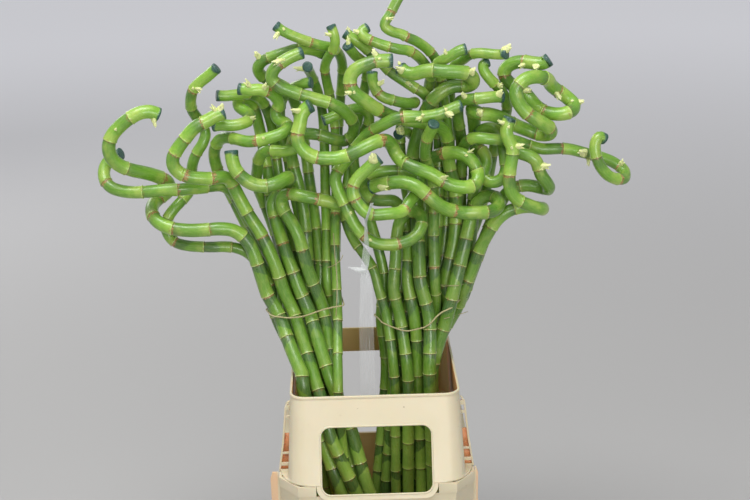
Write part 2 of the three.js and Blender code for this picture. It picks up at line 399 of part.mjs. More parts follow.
// Canes that would run through each other are eased apart, mostly in depth, so that the picture
// they make from the front stays as it is. The shift of each point is smoothed along its cane.
function easeApart(canes) {
  const cell = 24;
  const weight = new THREE.Vector3(0.45, 1, 0.45);
  for (const cane of canes) {
    cane.start = cane.line.map((p) => p.clone());
    cane.move = cane.line.map(() => new THREE.Vector3());
  }
  for (let round = 0; round < 420; round += 1) {
    const grid = new Map();
    canes.forEach((cane, c) => {
      cane.line.forEach((p, i) => {
        const key = `${Math.floor(p.x / cell)},${Math.floor(p.y / cell)},${Math.floor(p.z / cell)}`;
        if (!grid.has(key)) {
          grid.set(key, []);
        }
        grid.get(key).push([c, i]);
      });
    });
    const push = canes.map((cane) => cane.line.map(() => new THREE.Vector3()));
    const tally = canes.map((cane) => new Float32Array(cane.line.length));
    canes.forEach((cane, c) => {
      cane.line.forEach((p, i) => {
        const [gx, gy, gz] = [p.x, p.y, p.z].map((v) => Math.floor(v / cell));
        for (let a = -1; a < 2; a += 1) {
          for (let b = -1; b < 2; b += 1) {
            for (let e = -1; e < 2; e += 1) {
              for (const [o, j] of grid.get(`${gx + a},${gy + b},${gz + e}`) ?? []) {
                const own = o === c;
                if (o < c || (own && j < i + 9)) {
                  continue;
                }
                const apart = p.clone().sub(canes[o].line[j]);
                const least = (cane.d + canes[o].d) / 2 + AIR;
                const length = apart.length();
                if (length >= least) {
                  continue;
                }
                const way = apart.multiply(weight);
                if (way.lengthSq() < 1e-6) {
                  way.set(0, 1, 0);
                }
                const gain = Math.min(4, (least - length) * 0.55);
                way.normalize().multiplyScalar(gain);
                push[c][i].add(way);
                tally[c][i] += 1;
                push[o][j].sub(way);
                tally[o][j] += 1;
              }
            }
          }
        }
      });
    });
    canes.forEach((cane, c) => {
      const last = cane.line.length - 1;
      cane.move.forEach((m, i) => {
        if (tally[c][i] > 0) {
          m.add(push[c][i].divideScalar(tally[c][i]));
        } else if (round < 180) {
          m.multiplyScalar(0.99);
        }
      });
      const old = cane.move.map((m) => m.clone());
      for (let i = 1; i < last; i += 1) {
        cane.move[i].multiplyScalar(0.4).addScaledVector(old[i - 1], 0.3).addScaledVector(old[i + 1], 0.3);
      }
      cane.move[0].z = 0;
      cane.line.forEach((p, i) => {
        p.copy(cane.start[i]).add(cane.move[i]);
        const reach = COLLAR_TOP_X / 2 - COLLAR_WALL - 1.5 - cane.d / 2;
        if (p.z < COLLAR_TOP + 12 && Math.abs(p.x) > reach) {
          cane.move[i].x += Math.sign(p.x) * reach - p.x;
          p.x = Math.sign(p.x) * reach;
        }
      });
    });
  }
}

// ---- solids -----------------------------------------------------------------------------------
function toManifold(geometry) {
  const bare = geometry.clone();
  bare.deleteAttribute('normal');
  bare.deleteAttribute('uv');
  const merged = mergeVertices(bare, 1e-4);
  return new wasm.Manifold(new wasm.Mesh({
    numProp: 3,
    vertProperties: new Float32Array(merged.attributes.position.array),
    triVerts: new Uint32Array(merged.index.array),
  }));
}

function toGeometry(solid) {
  const mesh = solid.getMesh();
  const geometry = new THREE.BufferGeometry();
  geometry.setAttribute('position', new THREE.BufferAttribute(new Float32Array(mesh.vertProperties), 3));
  geometry.setIndex(new THREE.BufferAttribute(new Uint32Array(mesh.triVerts), 1));
  geometry.computeVertexNormals();
  return geometry;
}

// Rings of points joined into a closed skin, with a flat cap on the first and the last ring.
function loft(rings) {
  const n = rings[0].length;
  const position = rings.flat().flatMap((p) => [p.x, p.y, p.z]);
  const index = [];
  for (let k = 0; k < rings.length - 1; k += 1) {
    for (let i = 0; i < n; i += 1) {
      const a = k * n + i;
      const b = k * n + ((i + 1) % n);
      index.push(a, b, b + n, a, b + n, a + n);
    }
  }
  const top = (rings.length - 1) * n;
  for (let i = 1; i < n - 1; i += 1) {
    index.push(0, i + 1, i);
    index.push(top, top + i, top + i + 1);
  }
  const geometry = new THREE.BufferGeometry();
  geometry.setAttribute('position', new THREE.Float32BufferAttribute(position, 3));
  geometry.setIndex(index);
  geometry.computeVertexNormals();
  return geometry;
}

// The samples of a centreline that get a section of their own.
function stations(line) {
  const picked = [0];
  let turned = 0;
  let length = 0;
  for (let i = 1; i < line.length - 1; i += 1) {
    const before = line[i].clone().sub(line[i - 1]);
    const after = line[i + 1].clone().sub(line[i]);
    length += before.length();
    turned += THREE.MathUtils.radToDeg(before.angleTo(after));
    if (turned > TURN || length > LONGEST) {
      picked.push(i);
      turned = 0;
      length = 0;
    }
  }
  if (line.length - 1 - picked[picked.length - 1] < 2 && picked.length > 2) {
    picked.pop();
  }
  picked.push(line.length - 1);
  return picked;
}

// A cane: a six-sided section carried along the centreline without twisting.
function caneGeometry(line, radius) {
  const picked = stations(line);
  const rings = [];
  const side = new THREE.Vector3(1, 0, 0);
  picked.forEach((k, s) => {
    const from = line[Math.max(0, k - 1)];
    const to = line[Math.min(line.length - 1, k + 1)];
    const along = to.clone().sub(from).normalize();
    if (s === 0) {
      along.set(0, 0, 1);
    }
    side.addScaledVector(along, -side.dot(along)).normalize();
    const across = along.clone().cross(side);
    const ring = [];
    for (let i = 0; i < SIDES; i += 1) {
      const a = (i / SIDES) * Math.PI * 2;
      ring.push(line[k].clone()
        .addScaledVector(side, Math.cos(a) * radius)
        .addScaledVector(across, Math.sin(a) * radius));
    }
    rings.push(ring);
  });
  return loft(rings);
}

// A side shoot: a four-sided spike rooted inside its cane.
function shootGeometry(root, reach, radius) {
  const length = reach.length();
  const cone = new THREE.CylinderGeometry(radius * 0.45, radius, length, 4, 1);
  cone.translate(0, length / 2, 0);
  const upright = new THREE.Vector3(0, 1, 0);
  const turn = new THREE.Quaternion().setFromUnitVectors(upright, reach.clone().normalize());
  cone.applyQuaternion(turn);
  cone.translate(root.x, root.y, root.z);
  return cone;
}

function caneSolid(cane) {
  let solid = toManifold(caneGeometry(cane.line, cane.d / 2));
  for (const [x, z, rx, ry, rz, radius] of cane.shoots) {
    let best = null;
    let least = Infinity;
    cane.line.slice(0, -2).forEach((p) => {
      const there = seen(x, z, p.y);
      const away = Math.hypot(there.x - p.x, there.z - p.z) + 0.02 * (p.y + 100);
      if (away < least) {
        least = away;
        best = p;
      }
    });
    const reach = new THREE.Vector3(rx, ry, rz);
    const sunk = best.clone().addScaledVector(reach.clone().normalize(), cane.d * 0.22);
    reach.setLength(reach.length() + cane.d * 0.28);
    solid = solid.add(toManifold(shootGeometry(sunk, reach, radius)));
  }
  return solid;
}

// A rectangle with cut corners at one level.
function level(width, depth, cutX, cutY, z) {
  const x = width / 2;
  const y = depth / 2;
  return [
    [x, -y + cutY], [x, y - cutY], [x - cutX, y], [-x + cutX, y],
    [-x, y - cutY], [-x, -y + cutY], [-x + cutX, -y], [x - cutX, -y],
  ].map(([px, py]) => new THREE.Vector3(px, py, z));
}

function bucketGeometry() {
  const lipX = BUCKET_RIM_X + 2 * BUCKET_LIP;
  const lipY = BUCKET_RIM_Y + 2 * BUCKET_LIP;
  const lipFoot = BUCKET_HEIGHT - BUCKET_LIP_HEIGHT;
  const innerX = BUCKET_RIM_X - 2 * BUCKET_WALL;
  const innerY = BUCKET_RIM_Y - 2 * BUCKET_WALL;
  const cx = BUCKET_CHAMFER_X;
  const cy = BUCKET_CHAMFER_Y;
  const shell = loft([
    level(BUCKET_FOOT_X, BUCKET_FOOT_Y, cx, cy, 0),
    level(BUCKET_RIM_X, BUCKET_RIM_Y, cx, cy, lipFoot),
    level(lipX, lipY, cx, cy, lipFoot + 0.5),
    level(lipX, lipY, cx, cy, BUCKET_HEIGHT),
    level(innerX, innerY, cx - 1, cy - 1, BUCKET_HEIGHT),
    level(BUCKET_FOOT_X - 2 * BUCKET_WALL, BUCKET_FOOT_Y - 2 * BUCKET_WALL, cx - 1, cy - 1, BUCKET_FLOOR),
  ]);
  let solid = toManifold(shell);
  const height = BUCKET_HEIGHT + 13 - WINDOW_FRONT_SILL;
  const frontNotch = new THREE.BoxGeometry(WINDOW_WIDTH + 2 * FRAME_WIDTH + 1, 60, height);
  frontNotch.translate(0, -BUCKET_RIM_Y / 2, WINDOW_FRONT_SILL - 3 + height / 2);
  solid = solid.subtract(toManifold(frontNotch));
  const backNotch = windowOutline(WINDOW_WIDTH, WINDOW_BACK_SILL, BUCKET_HEIGHT + 30, WINDOW_CORNER);
  solid = solid.subtract(toManifold(sidePlate(backNotch, 60, BUCKET_RIM_Y / 2, 1)));
  const rootAt = (z) => (BUCKET_FOOT_X + (BUCKET_RIM_X - BUCKET_FOOT_X) * (z / BUCKET_HEIGHT)) / 2 - 1.5;
  for (const x of [-1, 1]) {
    const reach = x < 0 ? RIB_REACH_LEFT : RIB_REACH_RIGHT;
    const rib = new THREE.Shape();
    rib.moveTo(rootAt(RIB_FOOT), RIB_FOOT);
    rib.lineTo(reach - 4, RIB_FOOT + 12);
    rib.lineTo(reach, RIB_TOP - 9);
    rib.lineTo(reach - 3, RIB_TOP);
    rib.lineTo(BUCKET_RIM_X / 2 + BUCKET_LIP + 1, RIB_TOP);
    rib.lineTo(BUCKET_RIM_X / 2 + BUCKET_LIP + 1, BUCKET_HEIGHT - 4);
    rib.lineTo(rootAt(BUCKET_HEIGHT - 4), BUCKET_HEIGHT - 4);
    rib.closePath();
    solid = solid.add(toManifold(sidePlate(rib, RIB_THICK, -RIB_Y, x)));
  }
  return toGeometry(solid);
}

// A rounded rectangle outline, centred on x, between two heights of the tilted end wall.
function windowOutline(width, low, high, corner, path) {
  const w = width / 2;
  const target = path ?? new THREE.Shape();
  const steps = 3;
  const spots = [[w - corner, low + corner, -90], [w - corner, high - corner, 0],
    [-w + corner, high - corner, 90], [-w + corner, low + corner, 180]];
  spots.forEach(([x, y, start], k) => {
    for (let i = 0; i <= steps; i += 1) {
      const a = THREE.MathUtils.degToRad(start + (90 * i) / steps);
      const px = x + corner * Math.cos(a);
      const py = y + corner * Math.sin(a);
      if (k === 0 && i === 0) {
        target.moveTo(px, py);
      } else {
        target.lineTo(px, py);
      }
    }
  });
  target.closePath();
  return target;
}

// An outline drawn on the end wall is given a thickness square to that wall. way is -1 in front.
function onEndWall(shape, inner, thick, way) {
  const rise = COLLAR_TOP - BUCKET_HEIGHT;
  const lean = Math.atan2((COLLAR_FOOT_Y - COLLAR_TOP_Y) / 2, rise);
  const slab = new THREE.ExtrudeGeometry(shape, { depth: thick, bevelEnabled: false, curveSegments: 3 });
  slab.translate(0, 0, inner);
  slab.rotateX(Math.PI / 2);
  slab.rotateX(-lean);
  slab.translate(0, -COLLAR_FOOT_Y / 2, BUCKET_HEIGHT + CLEAR);
  if (way > 0) {
    slab.rotateZ(Math.PI);
  }
  return slab;
}

// A plate drawn in x and z, set upright at depth y and mirrored to either side.
function sidePlate(shape, thick, y, x) {
  const plate = new THREE.ExtrudeGeometry(shape, { depth: thick, bevelEnabled: false });
  plate.rotateX(Math.PI / 2);
  if (x < 0) {
    plate.rotateZ(Math.PI);
    plate.translate(0, -thick, 0);
  }
  plate.translate(0, y + thick / 2, 0);
  return plate;
}

// The ladder-like fin at a front corner of the collar. x is -1 on the left.
function finGeometry(x) {
  const wallAt = (z) => {
    const t = (z - BUCKET_HEIGHT) / (COLLAR_TOP - BUCKET_HEIGHT);
    return (COLLAR_FOOT_X + (COLLAR_TOP_X - COLLAR_FOOT_X) * t) / 2;
  };
  const edgeAt = (z) => {
    const k = z < FIN_LEVELS[1] ? 0 : 1;
    const t = (z - FIN_LEVELS[k]) / (FIN_LEVELS[k + 1] - FIN_LEVELS[k]);
    return FIN_REACH[k] + (FIN_REACH[k + 1] - FIN_REACH[k]) * t;
  };
  const fin = new THREE.Shape();
  fin.moveTo(wallAt(FIN_LEVELS[0]) - 2, FIN_LEVELS[0]);
  FIN_LEVELS.forEach((z, k) => fin.lineTo(FIN_REACH[k], z));
  fin.lineTo(wallAt(FIN_TOP) + 3, FIN_TOP);
  fin.lineTo(wallAt(FIN_TOP) - 2, FIN_TOP);
  fin.closePath();
  for (const [low, high] of FIN_HOLES) {
    const hole = new THREE.Path();
    hole.moveTo(wallAt(low) + 1.5, low);
    hole.lineTo(wallAt(high) + 1.5, high);
    hole.lineTo(edgeAt(high) - FIN_EDGE, high);
    hole.lineTo(edgeAt(low) - FIN_EDGE, low);
    hole.closePath();
    fin.holes.push(hole);
  }
  return sidePlate(fin, FIN_THICK, -FIN_Y, x);
}

function collarGeometry() {
  const foot = BUCKET_HEIGHT + CLEAR;
  const lean = Math.atan2((COLLAR_FOOT_Y - COLLAR_TOP_Y) / 2, COLLAR_TOP - BUCKET_HEIGHT);
  const along = (z) => (z - foot) / Math.cos(lean);
  const wall = 2 * COLLAR_WALL;
  const shell = loft([
    level(COLLAR_FOOT_X - wall, COLLAR_FOOT_Y - wall, COLLAR_CUT_X - 1, COLLAR_CUT_Y - 1, foot),
    level(FLANGE_X, FLANGE_Y, BUCKET_CHAMFER_X - 1, BUCKET_CHAMFER_Y - 1, foot),
    level(FLANGE_X, FLANGE_Y, BUCKET_CHAMFER_X - 1, BUCKET_CHAMFER_Y - 1, foot + FLANGE_THICK),
    level(COLLAR_FOOT_X, COLLAR_FOOT_Y - 1, COLLAR_CUT_X, COLLAR_CUT_Y, foot + FLANGE_THICK),
    level(COLLAR_TOP_X + 3, COLLAR_TOP_Y + 12, 17, 22, COLLAR_TOP - 19),
    level(COLLAR_TOP_X, COLLAR_TOP_Y, 17, 20, COLLAR_TOP),
    level(COLLAR_TOP_X - wall, COLLAR_TOP_Y - wall, 16, 19, COLLAR_TOP),
  ]);
  // the shell closes on itself, so its caps are left off and the last ring meets the first
  const n = 8;
  const rings = 7;
  const index = [];
  for (let k = 0; k < rings; k += 1) {
    for (let i = 0; i < n; i += 1) {
      const j = (i + 1) % n;
      const up = (k + 1) % rings;
      index.push(k * n + i, k * n + j, up * n + j, k * n + i, up * n + j, up * n + i);
    }
  }
  shell.setIndex(index);
  let solid = toManifold(shell);
  for (const x of [-1, 1]) {
    solid = solid.add(toManifold(finGeometry(x)));
  }
  const frontFoot = along(WINDOW_FRONT_SILL);
  const windows = [[-1, frontFoot, frontFoot - FRAME_WIDTH], [1, -WINDOW_CORNER - 5, 1]];
  for (const [way, low, frameFoot] of windows) {
    const high = along(WINDOW_TOP);
    const outer = windowOutline(WINDOW_WIDTH + 2 * FRAME_WIDTH, frameFoot, high + FRAME_WIDTH,
      WINDOW_CORNER + 6);
    const hole = windowOutline(WINDOW_WIDTH, low, high, WINDOW_CORNER);
    // in front the frame's foot hangs outside the bucket; at the back the window runs on into it
    solid = solid.add(toManifold(onEndWall(outer, -FRAME_ROOT, FRAME_PROUD + FRAME_ROOT, way)));
    solid = solid.subtract(toManifold(onEndWall(hole, -30, 60, way)));
  }
  return toGeometry(solid);
}

function waterGeometry(canes) {
  const low = BUCKET_FLOOR + CLEAR;
  const high = low + WATER_DEPTH;
  const at = (z, foot, rim) => foot + ((rim - foot) * z) / (BUCKET_HEIGHT - BUCKET_LIP_HEIGHT);
  const inset = 2 * BUCKET_WALL + 2 * CLEAR;
  const slab = loft([low, high].map((z) => level(
    at(z, BUCKET_FOOT_X, BUCKET_RIM_X) - inset - 0.4,
    at(z, BUCKET_FOOT_Y, BUCKET_RIM_Y) - inset - 0.4, BUCKET_CHAMFER_X, BUCKET_CHAMFER_Y, z)));
  let solid = toManifold(slab);
  for (const cane of canes) {
    solid = solid.subtract(toManifold(boreGeometry(cane.line, cane.d / 2 + BORE_ROOM)));
  }
  return toGeometry(solid);
}

// The hole that a cane leaves in the water: its own first length, a little wider.
function boreGeometry(line, radius) {
  const picked = stations(line).slice(0, 3);
  const side = new THREE.Vector3(1, 0, 0);
  const below = line[0].clone().sub(line[picked[1]]);
  below.multiplyScalar(3 / Math.abs(below.z));
  const rings = picked.map((k, s) => {
    const along = line[k + 1].clone().sub(line[Math.max(0, k - 1)]).normalize();
    if (s === 0) {
      along.set(0, 0, 1);
    }
    side.addScaledVector(along, -side.dot(along)).normalize();
    const across = along.clone().cross(side);
    return Array.from({ length: SIDES }, (_, i) => {
      const a = (i / SIDES) * Math.PI * 2;
      const p = line[k].clone().addScaledVector(side, Math.cos(a) * radius)
        .addScaledVector(across, Math.sin(a) * radius);
      return s === 0 ? p.add(below) : p;
    });
  });
  return loft(rings);
}

// The outline round a set of points, counter-clockwise.
function hull(points) {
  const sorted = [...points].sort((a, b) => a.x - b.x || a.y - b.y);
  const turn = (o, a, b) => (a.x - o.x) * (b.y - o.y) - (a.y - o.y) * (b.x - o.x);
  const half = (list) => {
    const out = [];
    for (const p of list) {
      while (out.length > 1 && turn(out[out.length - 2], out[out.length - 1], p) <= 0) {
        out.pop();
      }
      out.push(p);
    }
    out.pop();
    return out;
  };
  return [...half(sorted), ...half(sorted.reverse())];
}

// A tie pulled round a bundle at one height.
function tieGeometry(canes, z) {
  const ringAt = (extra) => {
    const points = [];
    for (const cane of canes) {
      for (const h of [z - TIE_HEIGHT, z, z + TIE_HEIGHT]) {
        const k = cane.line.findIndex((p) => p.z > h);
        const a = cane.line[k - 1];
        const b = cane.line[k];
        const p = a.clone().lerp(b, (h - a.z) / (b.z - a.z));
        const lean = b.clone().sub(a).normalize();
        const wide = cane.d / 2 / Math.max(0.7, lean.z) + TIE_SLACK + extra;
        for (let i = 0; i < 10; i += 1) {
          const turn = (i / 10) * Math.PI * 2;
          points.push(new THREE.Vector2(p.x + wide * Math.cos(turn), p.y + wide * Math.sin(turn)));
        }
      }
    }
    return hull(points);
  };
  const shape = new THREE.Shape(ringAt(TIE_THICK));
  const band = new THREE.ExtrudeGeometry(shape, { depth: TIE_HEIGHT, bevelEnabled: false });
  const inside = new THREE.ExtrudeGeometry(new THREE.Shape(ringAt(0)), {
    depth: TIE_HEIGHT + 2, bevelEnabled: false,
  });
  inside.translate(0, 0, -1);
  const ring = toManifold(band).subtract(toManifold(inside));
  const geometry = toGeometry(ring);
  geometry.translate(0, 0, z - TIE_HEIGHT / 2);
  return geometry;
}

// The clear strip of film that hangs in front of the bundles from a clip on the low ring. It goes
// down into the collar. Its stations are given on the plane of the picture, as the canes are.
function stripGeometry(canes) {
  const carrier = canes.find((cane) => cane.name === 'cane_mid_ring');
  const slot = new THREE.BoxGeometry(STRIP_CLIP_WIDTH + 4, 60, 40);
  slot.translate(0, -95, 632);
  const ring = toManifold(caneGeometry(carrier.line, carrier.d / 2));
  const bearing = toGeometry(ring.intersect(toManifold(slot)));
  bearing.computeBoundingBox();
  const face = bearing.boundingBox.min.y - CLEAR;
  const cross = ([x, z, back, wide, thick]) => {
    const middle = seen(x, z, face - back);
    return [[-1, -1], [1, -1], [1, 0], [-1, 0]].map(([a, b]) => (
      new THREE.Vector3(middle.x + (a * wide) / 2, face - back + b * thick, middle.z)));
  };
  return loft(STRIP.map(cross));
}

// ---- putting it together ------------------------------------------------------------------------
const GREEN_LIGHT = 0x96be50;
const GREEN_DEEP = 0x6a9a38;
const CREAM = 0xe6dabe;

function add(group, name, geometry, colour, roughness, extra = {}) {
  const material = new THREE.MeshStandardMaterial({ color: colour, roughness, metalness: 0, ...extra });
  const mesh = new THREE.Mesh(geometry, material);
  mesh.name = name;
  group.add(mesh);
}

const plant = new THREE.Group();
LEFT.forEach((cane, i) => {
  cane.line = centreline(cane, i, LEFT_SHAPE);
});
RIGHT.forEach((cane, i) => {
  cane.line = centreline(cane, i, RIGHT_SHAPE);
});
const canes = [...LEFT, ...RIGHT];
easeApart(canes);

add(plant, 'bucket', bucketGeometry(), CREAM, 0.45);
add(plant, 'collar', collarGeometry(), CREAM, 0.45);
add(plant, 'water', waterGeometry(canes), 0x9fb4a4, 0.08, { transparent: true, opacity: 0.5 });
canes.forEach((cane, i) => {
  const colour = i % 2 ? GREEN_LIGHT : GREEN_DEEP;
  add(plant, cane.name, toGeometry(caneSolid(cane)), colour, 0.35);
});
add(plant, 'tie_left', tieGeometry(LEFT, LEFT_WAIST_Z), 0xc9a77c, 0.7);
add(plant, 'tie_right', tieGeometry(RIGHT, RIGHT_WAIST_Z), 0xc9a77c, 0.7);
add(plant, 'film_strip', stripGeometry(canes), 0xd8dcd8, 0.15, { transparent: true, opacity: 0.45 });

export default plant;
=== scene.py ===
import math

import bmesh
import bpy
import numpy as np
from mathutils import Matrix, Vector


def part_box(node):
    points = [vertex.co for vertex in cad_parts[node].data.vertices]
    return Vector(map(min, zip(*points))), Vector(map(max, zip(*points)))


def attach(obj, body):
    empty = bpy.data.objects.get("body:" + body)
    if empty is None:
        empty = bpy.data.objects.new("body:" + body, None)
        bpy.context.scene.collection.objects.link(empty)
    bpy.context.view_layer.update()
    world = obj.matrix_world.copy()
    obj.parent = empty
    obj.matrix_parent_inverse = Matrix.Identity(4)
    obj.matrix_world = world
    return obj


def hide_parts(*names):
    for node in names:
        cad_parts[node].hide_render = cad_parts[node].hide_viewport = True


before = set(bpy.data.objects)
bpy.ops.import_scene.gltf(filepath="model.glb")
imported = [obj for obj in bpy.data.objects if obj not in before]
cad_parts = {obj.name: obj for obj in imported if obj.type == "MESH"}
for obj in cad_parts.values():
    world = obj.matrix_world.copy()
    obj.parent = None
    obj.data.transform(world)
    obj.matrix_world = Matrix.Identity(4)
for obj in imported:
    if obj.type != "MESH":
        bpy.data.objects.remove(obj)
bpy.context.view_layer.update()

# ---- bucket ----------------------------------------------------------------------------------
# The tall flower bucket that the bunch travels in: one injection moulding of cream polypropylene,
# tapered, with cut corners, a rib outside each front corner, a notch in the rim for the front
# window's frame, and a deep notch behind, which carries the back window on down.
MM = 0.001  # lengths are written in millimetres, and the scene's own are in metres


def placed(name, data):
    """The data as an object of the scene, unturned at the origin."""
    thing = bpy.data.objects.new(name, data)
    bpy.context.scene.collection.objects.link(thing)
    return thing


def moulding_from_node(node, name):
    """A copy of a node's solid with its loose triangles merged and its flat faces joined into one."""
    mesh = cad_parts[node].data.copy()
    mesh.name = name
    mould = bmesh.new()
    mould.from_mesh(mesh)
    bmesh.ops.remove_doubles(mould, verts=mould.verts, dist=2e-5)
    bmesh.ops.dissolve_limit(mould, angle_limit=math.radians(0.8), verts=mould.verts, edges=mould.edges)
    mould.to_mesh(mesh)
    mould.free()
    mesh.shade_smooth()
    return placed(name, mesh)


def rounded_edges(piece, width, segments=3):
    """Every edge sharper than 18 degrees gets the small radius that a mould leaves."""
    bevel = piece.modifiers.new("mould_radius", "BEVEL")
    bevel.width = width
    bevel.segments = segments
    bevel.limit_method = "ANGLE"
    bevel.angle_limit = math.radians(18)
    bevel.harden_normals = True


def srgb(red, green, blue):
    """Screen values from 0 to 255 as the linear colour of a shader."""
    value = np.array([red, green, blue]) / 255.0
    linear = np.where(value <= 0.04045, value / 12.92, ((value + 0.055) / 1.055) ** 2.4)
    return (*linear.tolist(), 1.0)


class Paint:
    """A node material in the making: add() makes a node and joins what it is given."""

    def __init__(self, name):
        self.material = bpy.data.materials.new(name)
        self.material.use_nodes = True
        self.tree = self.material.node_tree
        self.shader = self.tree.nodes["Principled BSDF"]

    def feed(self, socket, value):
        if isinstance(value, bpy.types.NodeSocket):
            self.tree.links.new(value, socket)
        else:
            socket.default_value = value

    def add(self, kind, inputs=None, **settings):
        node = self.tree.nodes.new(kind)
        for key, value in settings.items():
            setattr(node, key, value)
        for key, value in (inputs or {}).items():
            self.feed(node.inputs[key], value)
        return node

    def shade(self, **values):
        for key, value in values.items():
            self.feed(self.shader.inputs[key.replace("_", " ")], value)

    def place(self):
        return self.add("ShaderNodeTexCoord").outputs["Object"]

    def attribute(self, name):
        return self.add("ShaderNodeAttribute", attribute_name=name).outputs["Fac"]

    def maths(self, kind, how, values):
        node = self.add(kind, operation=how)
        for k, value in enumerate(values):
            self.feed(node.inputs[k], value)
        return node.outputs

    def sum(self, how, *values):
        return self.maths("ShaderNodeMath", how, values)[0]

    def times(self, one, other):
        return self.sum("MULTIPLY", one, other)

    def scaled(self, value, by, plus):
        return self.sum("MULTIPLY_ADD", value, by, plus)

    def vector(self, how, *values):
        single = how in ("DOT_PRODUCT", "LENGTH")
        return self.maths("ShaderNodeVectorMath", how, values)["Value" if single else "Vector"]

    def parts(self, vector):
        return self.add("ShaderNodeSeparateXYZ", {"Vector": vector}).outputs

    def unrolled(self):
        return self.add("ShaderNodeUVMap", uv_map="round_and_along").outputs[0]

    def noise(self, vector, scale, detail=3.0, roughness=0.55):
        given = {"Vector": vector, "Scale": scale, "Detail": detail, "Roughness": roughness}
        return self.add("ShaderNodeTexNoise", given).outputs["Fac"]

    def tinge(self, amount, under, red, green, blue):
        return self.over(amount, under, srgb(red, green, blue))

    def spread(self, value, low, high, to_low=0.0, to_high=1.0):
        given = {"Value": value, "From Min": low, "From Max": high, "To Min": to_low, "To Max": to_high}
        return self.add("ShaderNodeMapRange", given, interpolation_type="SMOOTHSTEP").outputs[0]

    def over(self, factor, under, upper):
        node = self.add("ShaderNodeMix", data_type="RGBA")
        self.feed(node.inputs[0], factor)
        self.feed(node.inputs[6], under)
        self.feed(node.inputs[7], upper)
        return node.outputs[2]

    def bump(self, height, distance, strength=1.0, under=None):
        given = {"Height": height, "Distance": distance, "Strength": strength}
        if under is not None:
            given["Normal"] = under
        return self.add("ShaderNodeBump", given).outputs["Normal"]


plastic = Paint("cream_polypropylene")
spot = plastic.place()
spot_x, spot_y, _ = plastic.parts(spot)
tone = plastic.over(plastic.spread(plastic.noise(spot, 14.0, 4.0), 0.3, 0.7),
                    srgb(212, 200, 169), srgb(216, 204, 175))
# painted glow: inside, the walls are painted a warm brown, for the light that comes through them
outwards = plastic.vector("NORMALIZE", plastic.vector("MULTIPLY", spot, (1.0, 1.0, 0.0)))
faces = plastic.add("ShaderNodeNewGeometry").outputs["Normal"]
inside = plastic.spread(plastic.vector("DOT_PRODUCT", outwards, faces), -0.15, -0.6, 0.0, 0.9)
# near the back wall, in the deepest shade, the painted glow is more of an olive
painted_glow = plastic.over(plastic.spread(spot_y, 0.13, 0.15), srgb(232, 162, 104), srgb(208, 178, 112))
tone = plastic.over(inside, tone, painted_glow)
# painted glow: the thin ribs that stand out beyond the rim are painted a warm orange too, for the light
# that comes through them
rib_glow_share = plastic.spread(plastic.sum("ABSOLUTE", spot_x), 0.1415, 0.144, 0.0, 0.5)
tone = plastic.tinge(rib_glow_share, tone, 220, 160, 112)
grime = plastic.spread(plastic.noise(spot, 60.0, 6.0, 0.7), 0.68, 0.8, 0.0, 0.35)
tone = plastic.tinge(grime, tone, 178, 146, 104)
specks = plastic.spread(plastic.noise(spot, 210.0, 2.0, 0.5), 0.76, 0.79, 0.0, 0.7)
plastic.shade(Base_Color=plastic.tinge(specks, tone, 120, 84, 52), Roughness=0.42,
              Subsurface_Weight=0.2, Subsurface_Radius=(1.0, 0.45, 0.18), Subsurface_Scale=0.006,
              Normal=plastic.bump(plastic.noise(spot, 900.0), 0.0002, 0.2))


def repaint(mesh, paint):
    mesh.materials.clear()
    mesh.materials.append(paint.material)


bucket = moulding_from_node("bucket", "bucket_moulding")
rounded_edges(bucket, 1.4 * MM)
repaint(bucket.data, plastic)
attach(bucket, "root")
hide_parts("bucket")

# ---- collar ----------------------------------------------------------------------------------
# The taller collar that clips on the bucket's rim and keeps the stems upright: a second moulding
# of the same plastic with soft corners, a bead on its rim, a window with a bead round it in the
# front and in the back wall, and a thin ladder-like fin at each front corner.
BUCKET_HEIGHT = 260.0
COLLAR_BASE = 260.3
COLLAR_TOP = 381.0
COLLAR_FOOT_DEPTH = 396.0
COLLAR_RIM_DEPTH = 325.0
# The wall's section: width and depth across it, width and depth of its corner rounds, and height.
COLLAR_SECTION = [
    (276, 397, 46, 68, 260.3), (276.4, 397.2, 46, 68, 261.3), (275.2, 396.4, 45, 67, 262.3),
    (255.4, 395.4, 27, 37, 262.6), (253.2, 393.8, 26, 36, 264.4), (243, 337, 23, 28, 362),
    (240.6, 327, 22, 25, 377.2), (242.2, 328.6, 22, 25, 378.0), (242.2, 328.2, 22, 25, 380.2),
    (240.8, 326.6, 21, 24, 381.0),
    (236.2, 321.8, 20, 22, 381.0), (235.2, 320.6, 19, 21, 380.2), (234.6, 321.0, 19, 21, 377.0),
    (236.8, 330.8, 20, 25, 362), (247.6, 389.6, 23, 33, 260.3)]
WINDOW_WIDTH, WINDOW_CORNER = 156.0, 13.0
WINDOW_SILL, WINDOW_HEAD = 248.0, 339.0
NOTCH_SILL = 190.0  # at the back the window runs on down into the bucket's notch
BACK_CUT, BACK_PLATE = -18.0, 1.0  # where, from its foot, the cut and the plate begin at the back
BUCKET_LEAN = 0.045  # how far the bucket's end wall leans out, in radians
BUCKET_PROUD = 1.7  # how far it stands out beyond the collar's foot
FRAME = 8.0  # the width of the plate round a window, which is nearly flush with the wall
PLATE_CORNER = 19.0
PLATE_INNER, PLATE_OUTER = -2.6, 0.3
THROUGH = 30.0
BEAD_OFF, BEAD_OUT, BEAD_WIDE, BEAD_THICK = 0.9, 0.1, 1.4, 1.3
collar_lean = math.atan2((COLLAR_FOOT_DEPTH - COLLAR_RIM_DEPTH) / 2, COLLAR_TOP - BUCKET_HEIGHT)


